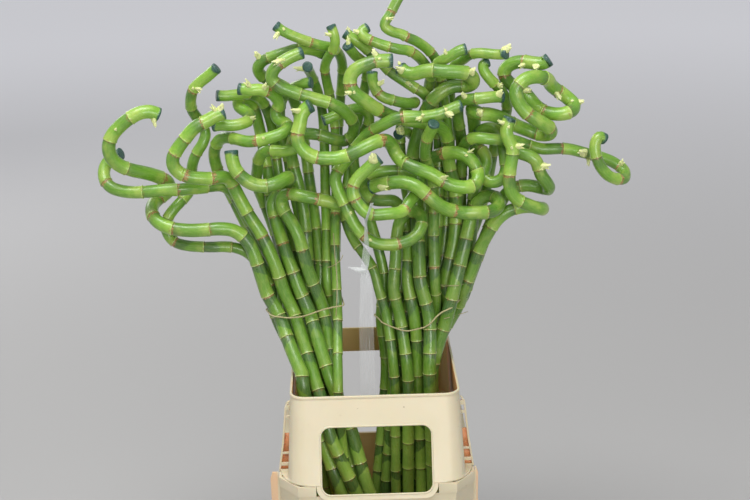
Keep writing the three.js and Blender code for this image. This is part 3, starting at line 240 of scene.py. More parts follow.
def soft_rectangle(wide, deep, round_x, round_y, turns=12):
    """The outline of a rectangle whose corners are quarter ellipses: each corner's middle plus
    its half widths times the cosine and the sine of the angle."""
    angle = np.radians(np.linspace(0, 90, turns)[None] + 90 * np.arange(4)[:, None])
    way_x = np.array([1, -1, -1, 1])[:, None]
    way_y = np.array([1, 1, -1, -1])[:, None]
    x = way_x * (wide / 2 - round_x) + round_x * np.cos(angle)
    y = way_y * (deep / 2 - round_y) + round_y * np.sin(angle)
    return np.stack([x.ravel(), y.ravel()], 1)


def on_end_wall(flat, out, way):
    """Points drawn on the leaning end wall: across it, up it from the collar's foot, and out
    square to it. way is -1 for the front wall and 1 for the back one. At the back the points
    below the collar's foot follow the bucket's own wall, which stands a little further out."""
    up = flat[:, 1]
    below = (up < 0) & (way > 0)
    lean = np.where(below, -BUCKET_LEAN, collar_lean)
    y = -COLLAR_FOOT_DEPTH / 2 + up * np.sin(lean) - out * np.cos(lean) - np.where(below, BUCKET_PROUD, 0)
    z = COLLAR_BASE + up * np.cos(lean) + out * np.sin(lean)
    return np.column_stack([-way * flat[:, 0], -way * y, z])


def grid_mesh(name, grid, closed):
    """A surface on a grid of points, with a face between each four and a UV map of the share
    round it and along it. closed joins the last row to the first, and the last column too."""
    rows, cols = grid.shape[:2]
    left = 0 if closed else 1
    i, j = np.meshgrid(np.arange(rows - left), np.arange(cols - left), indexing="ij")
    m, n = (i + 1) % rows, (j + 1) % cols
    quads = np.stack([i * cols + j, m * cols + j, m * cols + n, i * cols + n], -1).reshape(-1, 4)
    mesh = bpy.data.meshes.new(name)
    mesh.from_pydata((grid.reshape(-1, 3) * MM).tolist(), [], quads.tolist())
    corner = np.stack([j, i, j, i + 1, j + 1, i + 1, j + 1, i], -1).reshape(-1, 2) / (cols, rows)
    mesh.uv_layers.new(name="round_and_along").data.foreach_set("uv", corner.ravel())
    return mesh


def finished(name, mesh, material):
    """The mesh as a piece of the object, with its faces turned outwards."""
    shape = bmesh.new()
    shape.from_mesh(mesh)
    bmesh.ops.remove_doubles(shape, verts=shape.verts, dist=1e-7)
    bmesh.ops.recalc_face_normals(shape, faces=shape.faces)
    shape.to_mesh(mesh)
    shape.free()
    mesh.shade_smooth()
    mesh.materials.append(material)
    return placed(name, mesh)


def ring_mesh(name, grid, material):
    """A piece whose surface is a closed ring on a grid of points."""
    return finished(name, grid_mesh(name, grid, True), material)


def slab_mesh(name, lower, upper, material):
    """A slab between two outlines of as many points: both ends are one face, and each pair of
    neighbouring points makes a side."""
    n = len(lower)
    k = np.arange(n)
    sides = np.stack([k, (k + 1) % n, (k + 1) % n + n, k + n], 1)
    mesh = bpy.data.meshes.new(name)
    mesh.from_pydata((np.vstack([lower, upper]) * MM).tolist(), [],
                     [list(range(n)), list(range(n, 2 * n)), *sides.tolist()])
    return finished(name, mesh, material)


def worked(piece, steps):
    """The piece after other solids have been joined to it or cut out of it."""
    for tool, how in steps:
        change = piece.modifiers.new(how.lower(), "BOOLEAN")
        change.object, change.operation, change.solver = tool, how, "EXACT"
    done = bpy.data.meshes.new_from_object(piece.evaluated_get(bpy.context.evaluated_depsgraph_get()))
    piece.modifiers.clear()
    piece.data = done
    for tool, how in steps:
        bpy.data.objects.remove(tool)
    done.set_sharp_from_angle(angle=math.radians(28))
    return piece


def upright_opening(low, high, wide, corner):
    """A soft rectangle on the end wall between two heights up it."""
    return soft_rectangle(wide, high - low, corner, corner, 9) + (0, (high + low) / 2)


def facing_out(path):
    """For a closed flat outline, the direction square to it at each point."""
    ahead = np.roll(path, -1, axis=0) - np.roll(path, 1, axis=0)
    ahead /= np.linalg.norm(ahead, axis=1)[:, None]
    return np.column_stack([ahead[:, 1], -ahead[:, 0]])


outlines = [(soft_rectangle(*shape), z) for *shape, z in COLLAR_SECTION]
wall = np.array([np.column_stack([outline, np.full(len(outline), z)]) for outline, z in outlines])
collar = ring_mesh("collar_moulding", wall, plastic.material)
steps = []
sill, head = ((z - COLLAR_BASE) / math.cos(collar_lean) for z in (WINDOW_SILL, WINDOW_HEAD))
for way, end, low, frame_low in ((-1, "front", sill, sill - FRAME), (1, "back", BACK_CUT, BACK_PLATE)):
    frame_edge = upright_opening(frame_low, head + FRAME, WINDOW_WIDTH + 2 * FRAME, PLATE_CORNER)
    opening = upright_opening(low, head, WINDOW_WIDTH, WINDOW_CORNER)
    plate = slab_mesh("window_plate", on_end_wall(frame_edge, PLATE_INNER, way),
                      on_end_wall(frame_edge, PLATE_OUTER, way), plastic.material)
    hole = slab_mesh("window_hole", on_end_wall(opening, -THROUGH, way),
                     on_end_wall(opening, THROUGH, way), plastic.material)
    steps += [(plate, "UNION"), (hole, "DIFFERENCE")]
    if way > 0:
        # the bead bends where the opening passes from the collar's leaning wall to the bucket's
        side = WINDOW_WIDTH / 2
        opening = upright_opening(NOTCH_SILL - COLLAR_BASE, head, WINDOW_WIDTH, WINDOW_CORNER)
        half = len(opening) // 2
        opening = np.concatenate([opening[:half], [(-side, 1), (-side, -1)], opening[half:],
                                  [(side, -1), (side, 1)]])
    square = facing_out(opening)
    rows = [on_end_wall(opening + square * (BEAD_OFF + BEAD_WIDE * math.cos(a)),
                        BEAD_OUT + BEAD_THICK * math.sin(a), way)
            for a in np.linspace(0, 2 * np.pi, 10, endpoint=False)]
    bead = ring_mesh("window_bead_" + end, np.stack(rows, 1), plastic.material)
    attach(bead, "root")
collar = worked(collar, steps)
rounded_edges(collar, 0.7 * MM, 2)
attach(collar, "root")
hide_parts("collar")

FIN_EDGE_AT = [(261.0, 141.0), (305.0, 134.5), (359.0, 129.2), (367.0, 124.5)]  # height and reach
FIN_RUNGS = [(261, 263.5), (269, 274), (286.5, 290), (341.5, 345.5), (354, 361)]
FIN_WEBS = [(263, 269.5), (273.5, 287), (289.5, 318)]  # where a thin web closes the fin
FIN_DEPTHS = (-138.0, -134.0)
WEB_DEPTHS = (-135.0, -134.0)
# how far out the rungs start, at the collar's foot and at its top, and each web, low and high
RUNG_ROOTS = (125.0, 118.0)
WEB_ROOTS = (122.0, 119.5)
FIN_EDGE_WIDE = 2.8
# painted glow: the web is so thin that it glows orange in the shade, so its colour is painted orange,
# darker in blotches
thin_plastic = Paint("thin_cream_polypropylene")
tinge = thin_plastic.noise(thin_plastic.place(), 120.0, 4.0, 0.7)
painted_glow_tone = thin_plastic.tinge(thin_plastic.spread(tinge, 0.5, 0.75), srgb(216, 150, 104), 150, 98, 60)
thin_plastic.shade(Base_Color=painted_glow_tone, Roughness=0.45, Subsurface_Weight=0.3,
                   Subsurface_Radius=(1.0, 0.5, 0.2), Subsurface_Scale=0.004,
                   Normal=thin_plastic.bump(tinge, 0.0003, 0.3))


def fin_reach(z):
    return np.interp(z, *zip(*FIN_EDGE_AT))


def fin_bar(low, high, low_root, high_root):
    """The outline of a bar from the collar's wall to a millimetre short of the fin's edge."""
    return [(low_root, low), (fin_reach(low) - 1, low), (fin_reach(high) - 1, high), (high_root, high)]


def fin_slab(name, shape, way, depths, material):
    """A flat bar of the fin between two depths, from its outline as reach and height."""
    reach, level = np.array(shape).T
    lower, upper = (np.column_stack([way * reach, np.full(len(reach), y), level]) for y in depths)
    return slab_mesh(name, lower, upper, material)


for way, side in ((-1, "left"), (1, "right")):
    levels = np.array([level for level, reach in FIN_EDGE_AT])
    shapes = [np.concatenate([np.column_stack([fin_reach(levels), levels]),
                              np.column_stack([fin_reach(levels) - FIN_EDGE_WIDE, levels])[::-1]])]
    for low, high in FIN_RUNGS:
        shapes.append(fin_bar(low, high, *np.interp([low, high], [COLLAR_BASE, COLLAR_TOP], RUNG_ROOTS)))
    for number, shape in enumerate(shapes):
        bar = fin_slab("collar_fin_%s_%d" % (side, number), shape, way, FIN_DEPTHS, plastic.material)
        rounded_edges(bar, 0.7 * MM, 2)
        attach(bar, "root")
    for number, (low, high) in enumerate(FIN_WEBS):
        web = fin_slab("collar_fin_web_%s_%d" % (side, number), fin_bar(low, high, *WEB_ROOTS),
                       way, WEB_DEPTHS, thin_plastic.material)
        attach(web, "root")

# ---- water -----------------------------------------------------------------------------------
# A hand's breadth of still water in the foot of the bucket, a little clouded by the cut stems.
# It lies level and closes round every cane that stands in it.
water = Paint("standing_water")
depth = water.place()
water.shade(Base_Color=water.over(water.noise(depth, 30.0), srgb(196, 214, 190), srgb(214, 226, 208)),
            Roughness=0.03, IOR=1.333, Transmission_Weight=0.92,
            Normal=water.bump(water.noise(depth, 45.0, 2.0), 0.0008, 0.3))
repaint(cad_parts["water"].data, water)

# ---- canes -----------------------------------------------------------------------------------
# The stems: fresh green canes of lucky bamboo, jointed every 30 to 55 mm, curled while they grew
# and cut off at the top, where the cut is dipped in dark green wax. Each one runs from the
# bucket's floor through its tied bundle to its own curl.

# For each cane: d is its thickness, waist its x and depth in the tie, low its x in the neck and
# its x and depth at the foot, where they are its own. A route goes from the cut tip down to the
# bundle: x and height as seen from the front on the middle plane, and the depth behind it. A
# shoot has the x and height of its root, how far it reaches in x, depth and height, and its radius.
LEFT_BUNDLE = [
    dict(name="cane_left_hook", d=20, waist=(-130, -22), low=(-98, 16, -94), route=[
        (-299, 761, -30), (-312, 766, -33), (-326, 765, -35), (-341, 758, -36), (-357, 746, -36),
        (-370, 731, -36), (-375, 714, -35), (-371, 699, -32), (-360, 688, -27), (-343, 681, -20),
        (-323, 676, -8), (-305, 670, 6), (-292, 662, 20), (-290, 650, 32), (-300, 641, 34),
        (-311, 632, 26), (-315, 621, 10), (-312, 611, -4), (-303, 601, -15), (-287, 593, -23),
        (-264, 589, -27), (-240, 589, -29), (-218, 590, -28), (-199, 587, -26), (-184, 577, -24),
        (-172, 560, -24), (-165, 540, -25), (-157, 514, -24), (-149, 490, -22),
    ], shoots=[
        (-308, 748, 2, -4, -14, 3.5),
    ]),
    dict(name="cane_left_tall", d=16.5, waist=(-146, -5), route=[
        (-212, 828, -30), (-226, 816, -28), (-239, 806, -24), (-248, 796, -18), (-252, 782, -10),
        (-251, 768, 0), (-245, 757, 8), (-238, 746, 12), (-232, 732, 12), (-236, 718, 8), (-245, 705, 8),
        (-252, 692, 12), (-256, 676, 20), (-256, 660, 22), (-263, 645, 14), (-275, 632, 4),
        (-288, 619, -4), (-297, 606, -8), (-300, 593, -8), (-296, 580, -8), (-286, 570, -10),
        (-270, 565, -12), (-252, 563, -14), (-233, 562, -14), (-213, 562, -12), (-194, 559, -10),
        (-177, 550, -8), (-163, 532, -6), (-148, 503, -4),
    ], shoots=[
        (-240, 796, 6, -10, -2, 3),
    ]),
    dict(name="cane_left_arch", d=19.5, waist=(-111, -22), low=(-82, 34, -114), route=[
        (-205, 762, -46), (-217, 758, -49), (-230, 751, -51), (-249, 741, -53), (-264, 725, -53),
        (-275, 711, -52), (-283, 697, -50), (-282, 684, -48), (-273, 674, -46), (-259, 668, -44),
        (-243, 666, -41), (-228, 665, -36), (-213, 667, -29), (-202, 662, -20), (-195, 648, -15),
        (-186, 628, -15), (-175, 606, -17), (-161, 582, -19), (-147, 552, -21), (-135, 524, -22),
        (-126, 493, -21),
    ], shoots=[
        (-203, 764, 4, -3, 8, 3.5), (-212, 766, -4, -4, 8, 3),
    ]),
    dict(name="cane_left_low", d=18.5, waist=(-121, -3), route=[
        (-357, 706, 6), (-369, 701, 10), (-379, 692, 10), (-384, 680, 4), (-383, 667, -4),
        (-376, 657, -12), (-363, 651, -17), (-345, 648, -20), (-327, 648, -22), (-309, 649, -24),
        (-291, 650, -25), (-275, 650, -24), (-259, 651, -19), (-243, 652, -11), (-229, 654, -3),
        (-214, 654, 4), (-201, 646, 8), (-191, 630, 9), (-178, 602, 7), (-160, 568, 3), (-140, 526, 0),
        (-124, 492, -1),
    ]),
    dict(name="cane_left_knot", d=20, waist=(-94, -22), low=(-68, 50, -84), route=[
        (-193, 714, -36), (-193, 699, -41), (-190, 683, -46), (-181, 668, -50), (-167, 656, -53),
        (-150, 651, -53), (-134, 653, -50), (-121, 658, -40), (-115, 657, -25), (-119, 649, -6),
        (-131, 639, 8), (-142, 622, 12), (-139, 598, 6), (-131, 566, -4), (-122, 532, -14),
        (-110, 495, -19),
    ]),
    dict(name="cane_left_middle", d=19, waist=(-76, -19), low=(-60, 0, -80), route=[
        (-21, 619, -24), (-34, 621, -27), (-48, 623, -29), (-62, 628, -31), (-76, 632, -32),
        (-90, 636, -32), (-104, 640, -27), (-116, 643, -16), (-126, 637, -8), (-127, 623, -8),
        (-120, 608, -14), (-112, 593, -20), (-106, 578, -23), (-102, 561, -24), (-98, 540, -24),
        (-92, 512, -22),
    ]),
    dict(name="cane_left_pair", d=17.5, waist=(-129, 15), route=[
        (-184, 796, -32), (-168, 794, -34), (-153, 794, -33), (-140, 790, -28), (-130, 782, -22),
        (-126, 771, -17), (-131, 761, -14), (-128, 750, -16), (-117, 744, -24), (-115, 736, -36),
        (-125, 729, -44), (-140, 724, -47), (-157, 720, -45), (-175, 719, -39), (-194, 724, -28),
        (-209, 726, -13), (-220, 719, 3), (-225, 702, 17), (-219, 675, 26), (-202, 642, 27),
        (-184, 602, 22), (-162, 556, 18), (-137, 504, 16),
    ], shoots=[
        (-163, 803, -5, -6, 10, 3), (-150, 801, 4, -8, 6, 3),
    ]),
    dict(name="cane_left_stub", d=17, waist=(-110, 15), route=[
        (-223, 743, -27), (-209, 744, -30), (-195, 743, -30), (-181, 745, -28), (-170, 750, -20),
        (-167, 757, -8), (-174, 764, 2), (-182, 771, 8), (-181, 780, 18), (-170, 781, 30),
        (-160, 770, 42), (-155, 745, 50), (-152, 710, 50), (-151, 670, 42), (-150, 640, 31),
        (-147, 618, 24), (-139, 588, 18), (-125, 540, 15), (-111, 496, 15),
    ], shoots=[
        (-165, 746, 5, -9, 3, 3),
    ]),
    dict(name="cane_left_high", d=16.5, waist=(-92, 15), route=[
        (-216, 787, -5), (-202, 786, -1), (-188, 787, 4), (-173, 788, 13), (-160, 783, 26),
        (-149, 768, 40), (-141, 740, 54), (-136, 700, 58), (-131, 655, 50), (-122, 610, 38),
        (-110, 562, 26), (-95, 507, 17),
    ]),
    dict(name="cane_left_crown", d=17, waist=(-85, -3), route=[
        (-58, 843, 14), (-70, 848, 8), (-84, 851, 0), (-98, 851, -6), (-116, 846, -4), (-133, 841, -2),
        (-147, 835, 2), (-154, 825, 8), (-150, 815, 14), (-140, 808, 21), (-126, 802, 30),
        (-112, 792, 40), (-102, 772, 52), (-96, 742, 60), (-90, 702, 64), (-86, 657, 56), (-82, 615, 42),
        (-79, 568, 25), (-77, 515, 8),
    ], shoots=[
        (-151, 838, -6, -4, 8, 3),
    ]),
    dict(name="cane_left_coil", d=18, waist=(-103, -3), route=[
        (-89, 846, -40), (-104, 841, -44), (-119, 833, -47), (-131, 823, -48), (-135, 811, -46),
        (-125, 799, -44), (-110, 792, -42), (-94, 786, -41), (-75, 780, -39), (-53, 773, -34),
        (-36, 764, -25), (-24, 751, -12), (-19, 737, 2), (-23, 724, 10), (-34, 717, 10), (-48, 719, 4),
        (-66, 725, 0), (-87, 728, 2), (-103, 723, 12), (-111, 708, 23), (-109, 685, 29), (-102, 652, 28),
        (-96, 615, 22), (-93, 570, 12), (-93, 515, 2),
    ], shoots=[
        (-106, 827, -14, -10, -2, 3.5),
    ]),
    dict(name="cane_left_back", d=15, waist=(-61, -9), route=[
        (-83, 826, -24), (-82, 822, -10), (-79, 816, 6), (-75, 806, 22), (-69, 788, 38), (-64, 762, 52),
        (-62, 728, 58), (-62, 690, 56), (-62, 645, 42), (-62, 600, 24), (-64, 545, 2), (-66, 500, -14),
    ], shoots=[
        (-88, 829, -15, -8, 0, 3),
    ]),
    dict(name="cane_left_flag", d=15, waist=(-55, 9), route=[
        (-127, 886, -18), (-117, 878, -20), (-106, 872, -21), (-90, 865, -19), (-77, 860, -15),
        (-61, 855, -8), (-48, 852, 2), (-38, 844, 15), (-33, 829, 30), (-34, 804, 46), (-38, 768, 58),
        (-42, 728, 62), (-45, 688, 58), (-48, 640, 44), (-50, 590, 26), (-53, 535, 8),
    ], shoots=[
        (-126, 878, -6, -6, -8, 3),
    ]),
    dict(name="cane_left_sprig", d=14, waist=(-52, -30), low=(-57, -24, -78), route=[
        (-48, 884, -36), (-44, 873, -38), (-42, 861, -36), (-45, 849, -27), (-53, 838, -12),
        (-58, 824, 4), (-56, 804, 20), (-50, 772, 34), (-46, 735, 40), (-46, 695, 38), (-47, 650, 26),
        (-50, 600, 8), (-52, 550, -8), (-52, 505, -18),
    ], shoots=[
        (-52, 868, -8, -5, 2, 2.5),
    ]),
    dict(name="cane_left_cap", d=16, waist=(-75, 17), route=[
        (-77, 802, -34), (-88, 801, -30), (-100, 797, -20), (-112, 790, -6), (-121, 779, 10),
        (-125, 762, 26), (-124, 742, 38), (-120, 718, 46), (-115, 688, 50), (-110, 650, 44),
        (-103, 612, 36), (-93, 568, 26), (-76, 512, 18),
    ]),
    dict(name="cane_left_bend", d=17, waist=(-101, 32), route=[
        (-92, 711, -22), (-105, 706, -24), (-119, 703, -22), (-134, 704, -18), (-147, 703, -10),
        (-154, 693, 2), (-155, 677, 20), (-154, 655, 41), (-147, 625, 50), (-138, 588, 46),
        (-127, 540, 39), (-117, 500, 33),
    ]),
]
RIGHT_BUNDLE = [
    dict(name="cane_mid_dark", d=15, waist=(22, -20), low=(31, 34, 18), route=[
        (-26, 855, -24), (-20, 849, -18), (-12, 841, -8), (-2, 833, 6), (4, 818, 22), (0, 793, 38),
        (-9, 758, 50), (-18, 718, 54), (-26, 678, 48), (-32, 640, 34), (-35, 606, 20), (-31, 585, 10),
        (-21, 562, 2), (-8, 543, -6), (5, 519, -13), (12, 490, -18),
    ], shoots=[
        (-27, 864, -2, -4, 12, 3.5),
    ]),
    dict(name="cane_mid_serpent", d=20, waist=(54, -1), route=[
        (-79, 777, -44), (-88, 770, -46), (-94, 760, -50), (-97, 746, -54), (-101, 729, -58),
        (-98, 713, -60), (-88, 701, -62), (-75, 694, -62), (-60, 692, -62), (-45, 692, -62),
        (-29, 696, -62), (-13, 703, -62), (2, 711, -60), (15, 717, -54), (27, 718, -44), (35, 710, -36),
        (40, 699, -34), (47, 688, -38), (57, 680, -44), (68, 674, -50), (80, 669, -53), (93, 663, -54),
        (106, 654, -54), (118, 647, -54), (131, 643, -54), (145, 642, -52), (156, 646, -46),
        (161, 656, -39), (159, 668, -34), (153, 679, -31), (143, 688, -27), (131, 693, -21),
        (118, 694, -14), (104, 692, -6), (92, 686, 2), (83, 675, 11), (79, 658, 20), (80, 635, 25),
        (82, 605, 22), (80, 565, 14), (75, 515, 4),
    ], shoots=[
        (-96, 769, -11, -8, 2, 3.5), (108, 660, 6, -10, 4, 3), (142, 696, 8, -6, 5, 2.5),
    ]),
    dict(name="cane_mid_loop", d=18, waist=(44, -20), low=(53, 54, 18), route=[
        (138, 763, -48), (128, 760, -50), (115, 755, -52), (100, 751, -53), (82, 750, -53),
        (64, 752, -52), (50, 752, -50), (38, 750, -46), (26, 745, -40), (13, 737, -32), (1, 728, -25),
        (-9, 717, -20), (-18, 705, -20), (-26, 694, -26), (-34, 684, -36), (-43, 673, -44),
        (-48, 660, -50), (-45, 645, -53), (-39, 630, -54), (-32, 614, -56), (-26, 600, -58),
        (-20, 588, -60), (-12, 577, -62), (-3, 568, -64), (9, 561, -65), (26, 558, -65), (43, 559, -62),
        (59, 564, -57), (71, 573, -50), (78, 586, -40), (78, 599, -28), (70, 608, -14), (57, 606, -2),
        (47, 592, 4), (43, 568, 0), (41, 530, -10), (37, 490, -18),
    ], shoots=[
        (115, 748, 6, -10, -2, 4), (80, 748, -4, -9, -1, 3),
    ]),
    dict(name="cane_mid_ring", d=18, waist=(65, -20), low=(71, 66, 8), route=[
        (18, 689, -70), (8, 681, -71), (-3, 671, -71), (-13, 662, -71), (-20, 652, -72), (-23, 641, -73),
        (-20, 629, -74), (-13, 617, -75), (-4, 608, -76), (7, 604, -76), (18, 604, -75), (32, 605, -73),
        (44, 606, -68), (53, 611, -61), (59, 620, -54), (67, 631, -45), (74, 641, -35), (75, 653, -24),
        (68, 662, -15), (57, 667, -11), (44, 669, -10), (30, 669, -10), (17, 668, -10), (5, 664, -7),
        (-4, 653, 1), (-5, 643, 9), (1, 632, 13), (11, 626, 12), (23, 625, 11), (37, 624, 13),
        (48, 610, 19), (54, 590, 20), (57, 555, 8), (56, 505, -10),
    ], shoots=[
        (2, 690, -2, -8, 8, 5.5),
    ]),
    dict(name="cane_mid_sweep", d=20, waist=(109, -17), low=(82, 100, 36), route=[
        (3, 645, -38), (17, 649, -43), (31, 651, -47), (45, 652, -51), (58, 650, -57), (71, 644, -63),
        (84, 633, -66), (98, 620, -65), (111, 611, -61), (126, 606, -56), (142, 603, -52),
        (159, 603, -50), (173, 603, -45), (185, 606, -36), (192, 615, -24), (188, 624, -12),
        (177, 628, -2), (163, 622, 5), (153, 606, 6), (146, 580, 0), (136, 540, -9), (123, 492, -18),
    ], shoots=[
        (2, 642, 10, -9, 0, 5),
    ]),
    dict(name="cane_mid_front", d=20, waist=(113, 0), route=[
        (40, 831, -60), (28, 831, -61), (14, 830, -62), (1, 826, -62), (-12, 820, -62), (-20, 811, -62),
        (-22, 800, -62), (-19, 789, -62), (-11, 780, -61), (-2, 773, -59), (8, 765, -54), (18, 758, -46),
        (28, 752, -36), (40, 747, -27), (52, 744, -22), (65, 742, -23), (78, 741, -23), (92, 739, -17),
        (106, 735, -6), (117, 725, 5), (122, 710, 13), (124, 692, 18), (127, 670, 22), (131, 645, 23),
        (131, 610, 19), (125, 560, 10), (112, 502, 1),
    ], shoots=[
        (17, 841, -4, -2, 8, 3), (-17, 786, -6, -8, 0, 3),
    ]),
    dict(name="cane_mid_cup", d=16, waist=(34, -2), route=[
        (10, 816, -22), (10, 804, -26), (13, 792, -31), (18, 782, -34), (27, 775, -34), (39, 772, -31),
        (52, 770, -26), (65, 770, -17), (74, 772, -5), (76, 774, 9), (68, 771, 22), (58, 756, 32),
        (51, 732, 38), (49, 700, 40), (52, 660, 38), (58, 620, 30), (56, 570, 18), (50, 510, 4),
    ], shoots=[
        (21, 796, 8, -4, 6, 2.5),
    ]),
    dict(name="cane_mid_lean", d=16, waist=(75, -1), route=[
        (-28, 873, -4), (-15, 861, -6), (-2, 848, -2), (8, 836, 5), (20, 824, 8), (31, 811, 6),
        (43, 801, 4), (54, 792, 4), (65, 783, 5), (76, 775, 8), (87, 764, 14), (96, 748, 22),
        (100, 727, 29), (101, 695, 31), (100, 655, 29), (97, 615, 24), (94, 565, 14), (88, 510, 3),
    ], shoots=[
        (-28, 878, -2, -2, 7, 2.5), (50, 796, 6, -7, -3, 3),
    ]),
    dict(name="cane_top_step", d=15, waist=(63, 17), route=[
        (5, 880, -12), (-4, 873, -17), (1, 866, -21), (11, 861, -22), (24, 856, -22), (38, 852, -22),
        (52, 849, -20), (66, 847, -15), (78, 841, -7), (87, 833, 5), (93, 821, 18), (98, 803, 30),
        (103, 780, 38), (108, 752, 43), (110, 718, 45), (109, 680, 43), (106, 640, 38), (100, 592, 31),
        (92, 540, 23), (82, 495, 17),
    ], shoots=[
        (-9, 873, -6, -3, 3, 2.5),
    ]),
    dict(name="cane_top_reach", d=15, waist=(81, 17), route=[
        (57, 932, -8), (53, 925, -10), (48, 917, -12), (42, 906, -14), (36, 895, -16), (30, 886, -18),
        (29, 879, -18), (35, 873, -18), (43, 869, -16), (52, 866, -14), (60, 861, -12), (70, 856, -8),
        (80, 849, -2), (90, 840, 6), (99, 831, 13), (106, 818, 20), (111, 802, 26), (116, 780, 32),
        (120, 750, 38), (122, 712, 41), (122, 670, 39), (119, 625, 33), (112, 570, 25), (102, 515, 18),
    ], shoots=[
        (34, 888, 6, -6, 2, 2),
    ]),
    dict(name="cane_right_drum", d=20, waist=(86, -20), low=(84, 86, 6), route=[
        (50, 820, -20), (59, 813, -26), (71, 811, -31), (84, 814, -36), (98, 815, -40), (111, 813, -42),
        (124, 812, -43), (137, 811, -42), (149, 809, -39), (158, 803, -34), (160, 795, -27),
        (153, 788, -20), (142, 786, -16), (130, 787, -14), (118, 785, -13), (106, 779, -12),
        (96, 771, -8), (88, 761, 0), (81, 747, 8), (75, 730, 12), (70, 712, 14), (68, 690, 17),
        (69, 665, 18), (71, 635, 20), (72, 600, 16), (73, 555, 0), (74, 505, -14),
    ], shoots=[
        (54, 822, -6, -6, 4, 4.5), (152, 817, 4, -8, 5, 4),
    ]),
    dict(name="cane_right_peg", d=16, waist=(45, 17), route=[
        (149, 843, -30), (138, 840, -32), (127, 834, -32), (117, 829, -29), (108, 824, -22),
        (100, 815, -10), (94, 800, 4), (90, 780, 18), (88, 752, 30), (86, 720, 38), (84, 685, 42),
        (81, 645, 40), (77, 600, 34), (70, 548, 24), (61, 498, 17),
    ], shoots=[
        (117, 836, -3, -3, 6, 2.5),
    ]),
    dict(name="cane_right_bar", d=15, waist=(46, 33), route=[
        (205, 836, -46), (196, 835, -41), (184, 835, -35), (170, 836, -30), (157, 836, -25),
        (146, 833, -17), (137, 827, -8), (127, 822, 2), (119, 812, 14), (116, 795, 27), (117, 770, 39),
        (119, 740, 48), (119, 705, 54), (117, 665, 55), (112, 620, 51), (102, 570, 44), (86, 515, 37),
    ], shoots=[
        (198, 843, 8, -4, 9, 4),
    ]),
    dict(name="cane_right_slip", d=16, waist=(84, 56), route=[
        (177, 826, -22), (170, 822, -25), (170, 814, -27), (176, 805, -27), (184, 797, -24),
        (193, 789, -17), (202, 778, -6), (205, 762, 6), (201, 744, 18), (190, 722, 30), (183, 695, 41),
        (176, 663, 50), (167, 625, 55), (153, 578, 55), (130, 525, 52), (107, 480, 50),
    ], shoots=[
        (196, 795, 3, -6, 2, 3.5),
    ]),
    dict(name="cane_right_spiral", d=20, waist=(100, 39), route=[
        (266, 827, -30), (256, 820, -30), (243, 820, -26), (229, 822, -18), (216, 821, -12),
        (205, 816, -8), (199, 807, -6), (201, 797, -6), (209, 788, -6), (219, 782, -6), (229, 776, -8),
        (237, 767, -15), (245, 758, -21), (255, 751, -26), (267, 747, -30), (280, 746, -34),
        (291, 748, -34), (299, 753, -25), (300, 762, -14), (293, 770, -9), (284, 778, -9),
        (275, 785, -12), (267, 793, -17), (262, 802, -26), (253, 806, -36), (242, 806, -44),
        (232, 803, -49), (223, 796, -52), (217, 786, -54), (218, 773, -55), (224, 761, -55),
        (233, 750, -55), (245, 741, -54), (257, 733, -51), (266, 726, -42), (267, 719, -29),
        (259, 717, -16), (247, 719, -9), (235, 724, -7), (223, 729, -9), (211, 735, -14),
        (199, 742, -20), (187, 748, -26), (174, 752, -31), (161, 754, -33), (151, 759, -26),
        (148, 762, -12), (149, 757, 4), (151, 742, 22), (153, 718, 38), (154, 688, 49), (152, 652, 52),
        (148, 612, 49), (141, 565, 42), (130, 515, 35),
    ], shoots=[
        (228, 780, 5, -8, 2, 4.5), (246, 819, -3, -8, -3, 4), (233, 815, -8, -6, -3, 3),
        (259, 778, 7, -6, -12, 2.5), (163, 757, 2, -12, 2, 4), (301, 762, 6, -2, 2, 3),
    ]),
    dict(name="cane_right_plug", d=17, waist=(81, 36), route=[
        (198, 776, -30), (184, 776, -34), (171, 775, -36), (158, 774, -33), (147, 773, -23),
        (139, 771, -9), (135, 762, 6), (134, 745, 21), (136, 722, 34), (138, 692, 43), (138, 655, 48),
        (136, 612, 47), (129, 562, 42), (116, 510, 35),
    ], shoots=[
        (190, 785, 4, -7, 6, 4), (149, 781, -6, -4, 5, 3),
    ]),
    dict(name="cane_right_post", d=19, waist=(121, 19), route=[
        (210, 744, -58), (206, 735, -60), (204, 723, -62), (207, 711, -62), (212, 699, -62),
        (212, 688, -62), (210, 676, -62), (208, 664, -62), (207, 651, -61), (208, 638, -59),
        (213, 627, -57), (222, 619, -54), (234, 613, -51), (246, 608, -46), (254, 606, -36),
        (254, 607, -22), (244, 609, -12), (230, 610, -8), (215, 608, -8), (200, 602, -9), (187, 591, -9),
        (175, 574, -8), (161, 550, -6), (143, 510, -4), (129, 482, -3),
    ], shoots=[
        (192, 737, -8, -5, 3, 3), (226, 700, 9, -4, 2, 4),
    ]),
    dict(name="cane_right_hook", d=19, waist=(124, 43), route=[
        (212, 700, -34), (223, 695, -38), (234, 690, -42), (243, 683, -44), (248, 672, -44),
        (252, 660, -44), (259, 649, -42), (264, 640, -34), (261, 636, -20), (251, 638, -11),
        (238, 641, -9), (224, 641, -8), (210, 636, -6), (198, 625, -2), (188, 607, 3), (176, 582, 8),
        (159, 545, 12), (140, 505, 14),
    ], shoots=[
        (252, 670, 10, -7, 1, 4),
    ]),
    dict(name="cane_right_inner", d=18, waist=(101, 19), route=[
        (160, 718, 12), (172, 727, 6), (186, 726, -2), (195, 713, -10), (199, 698, -18), (201, 682, -24),
        (202, 667, -28), (197, 654, -30), (185, 648, -28), (173, 651, -22), (168, 662, -12),
        (171, 676, -6), (168, 689, -2), (160, 698, 6), (153, 696, 16), (150, 682, 24), (150, 655, 26),
        (150, 615, 25), (144, 565, 21), (128, 508, 16),
    ]),
    dict(name="cane_right_far", d=17, waist=(63, 34), route=[
        (347, 707, -50), (338, 711, -53), (333, 702, -55), (333, 689, -57), (337, 675, -57),
        (344, 662, -55), (354, 652, -51), (367, 647, -42), (376, 649, -29), (375, 660, -16),
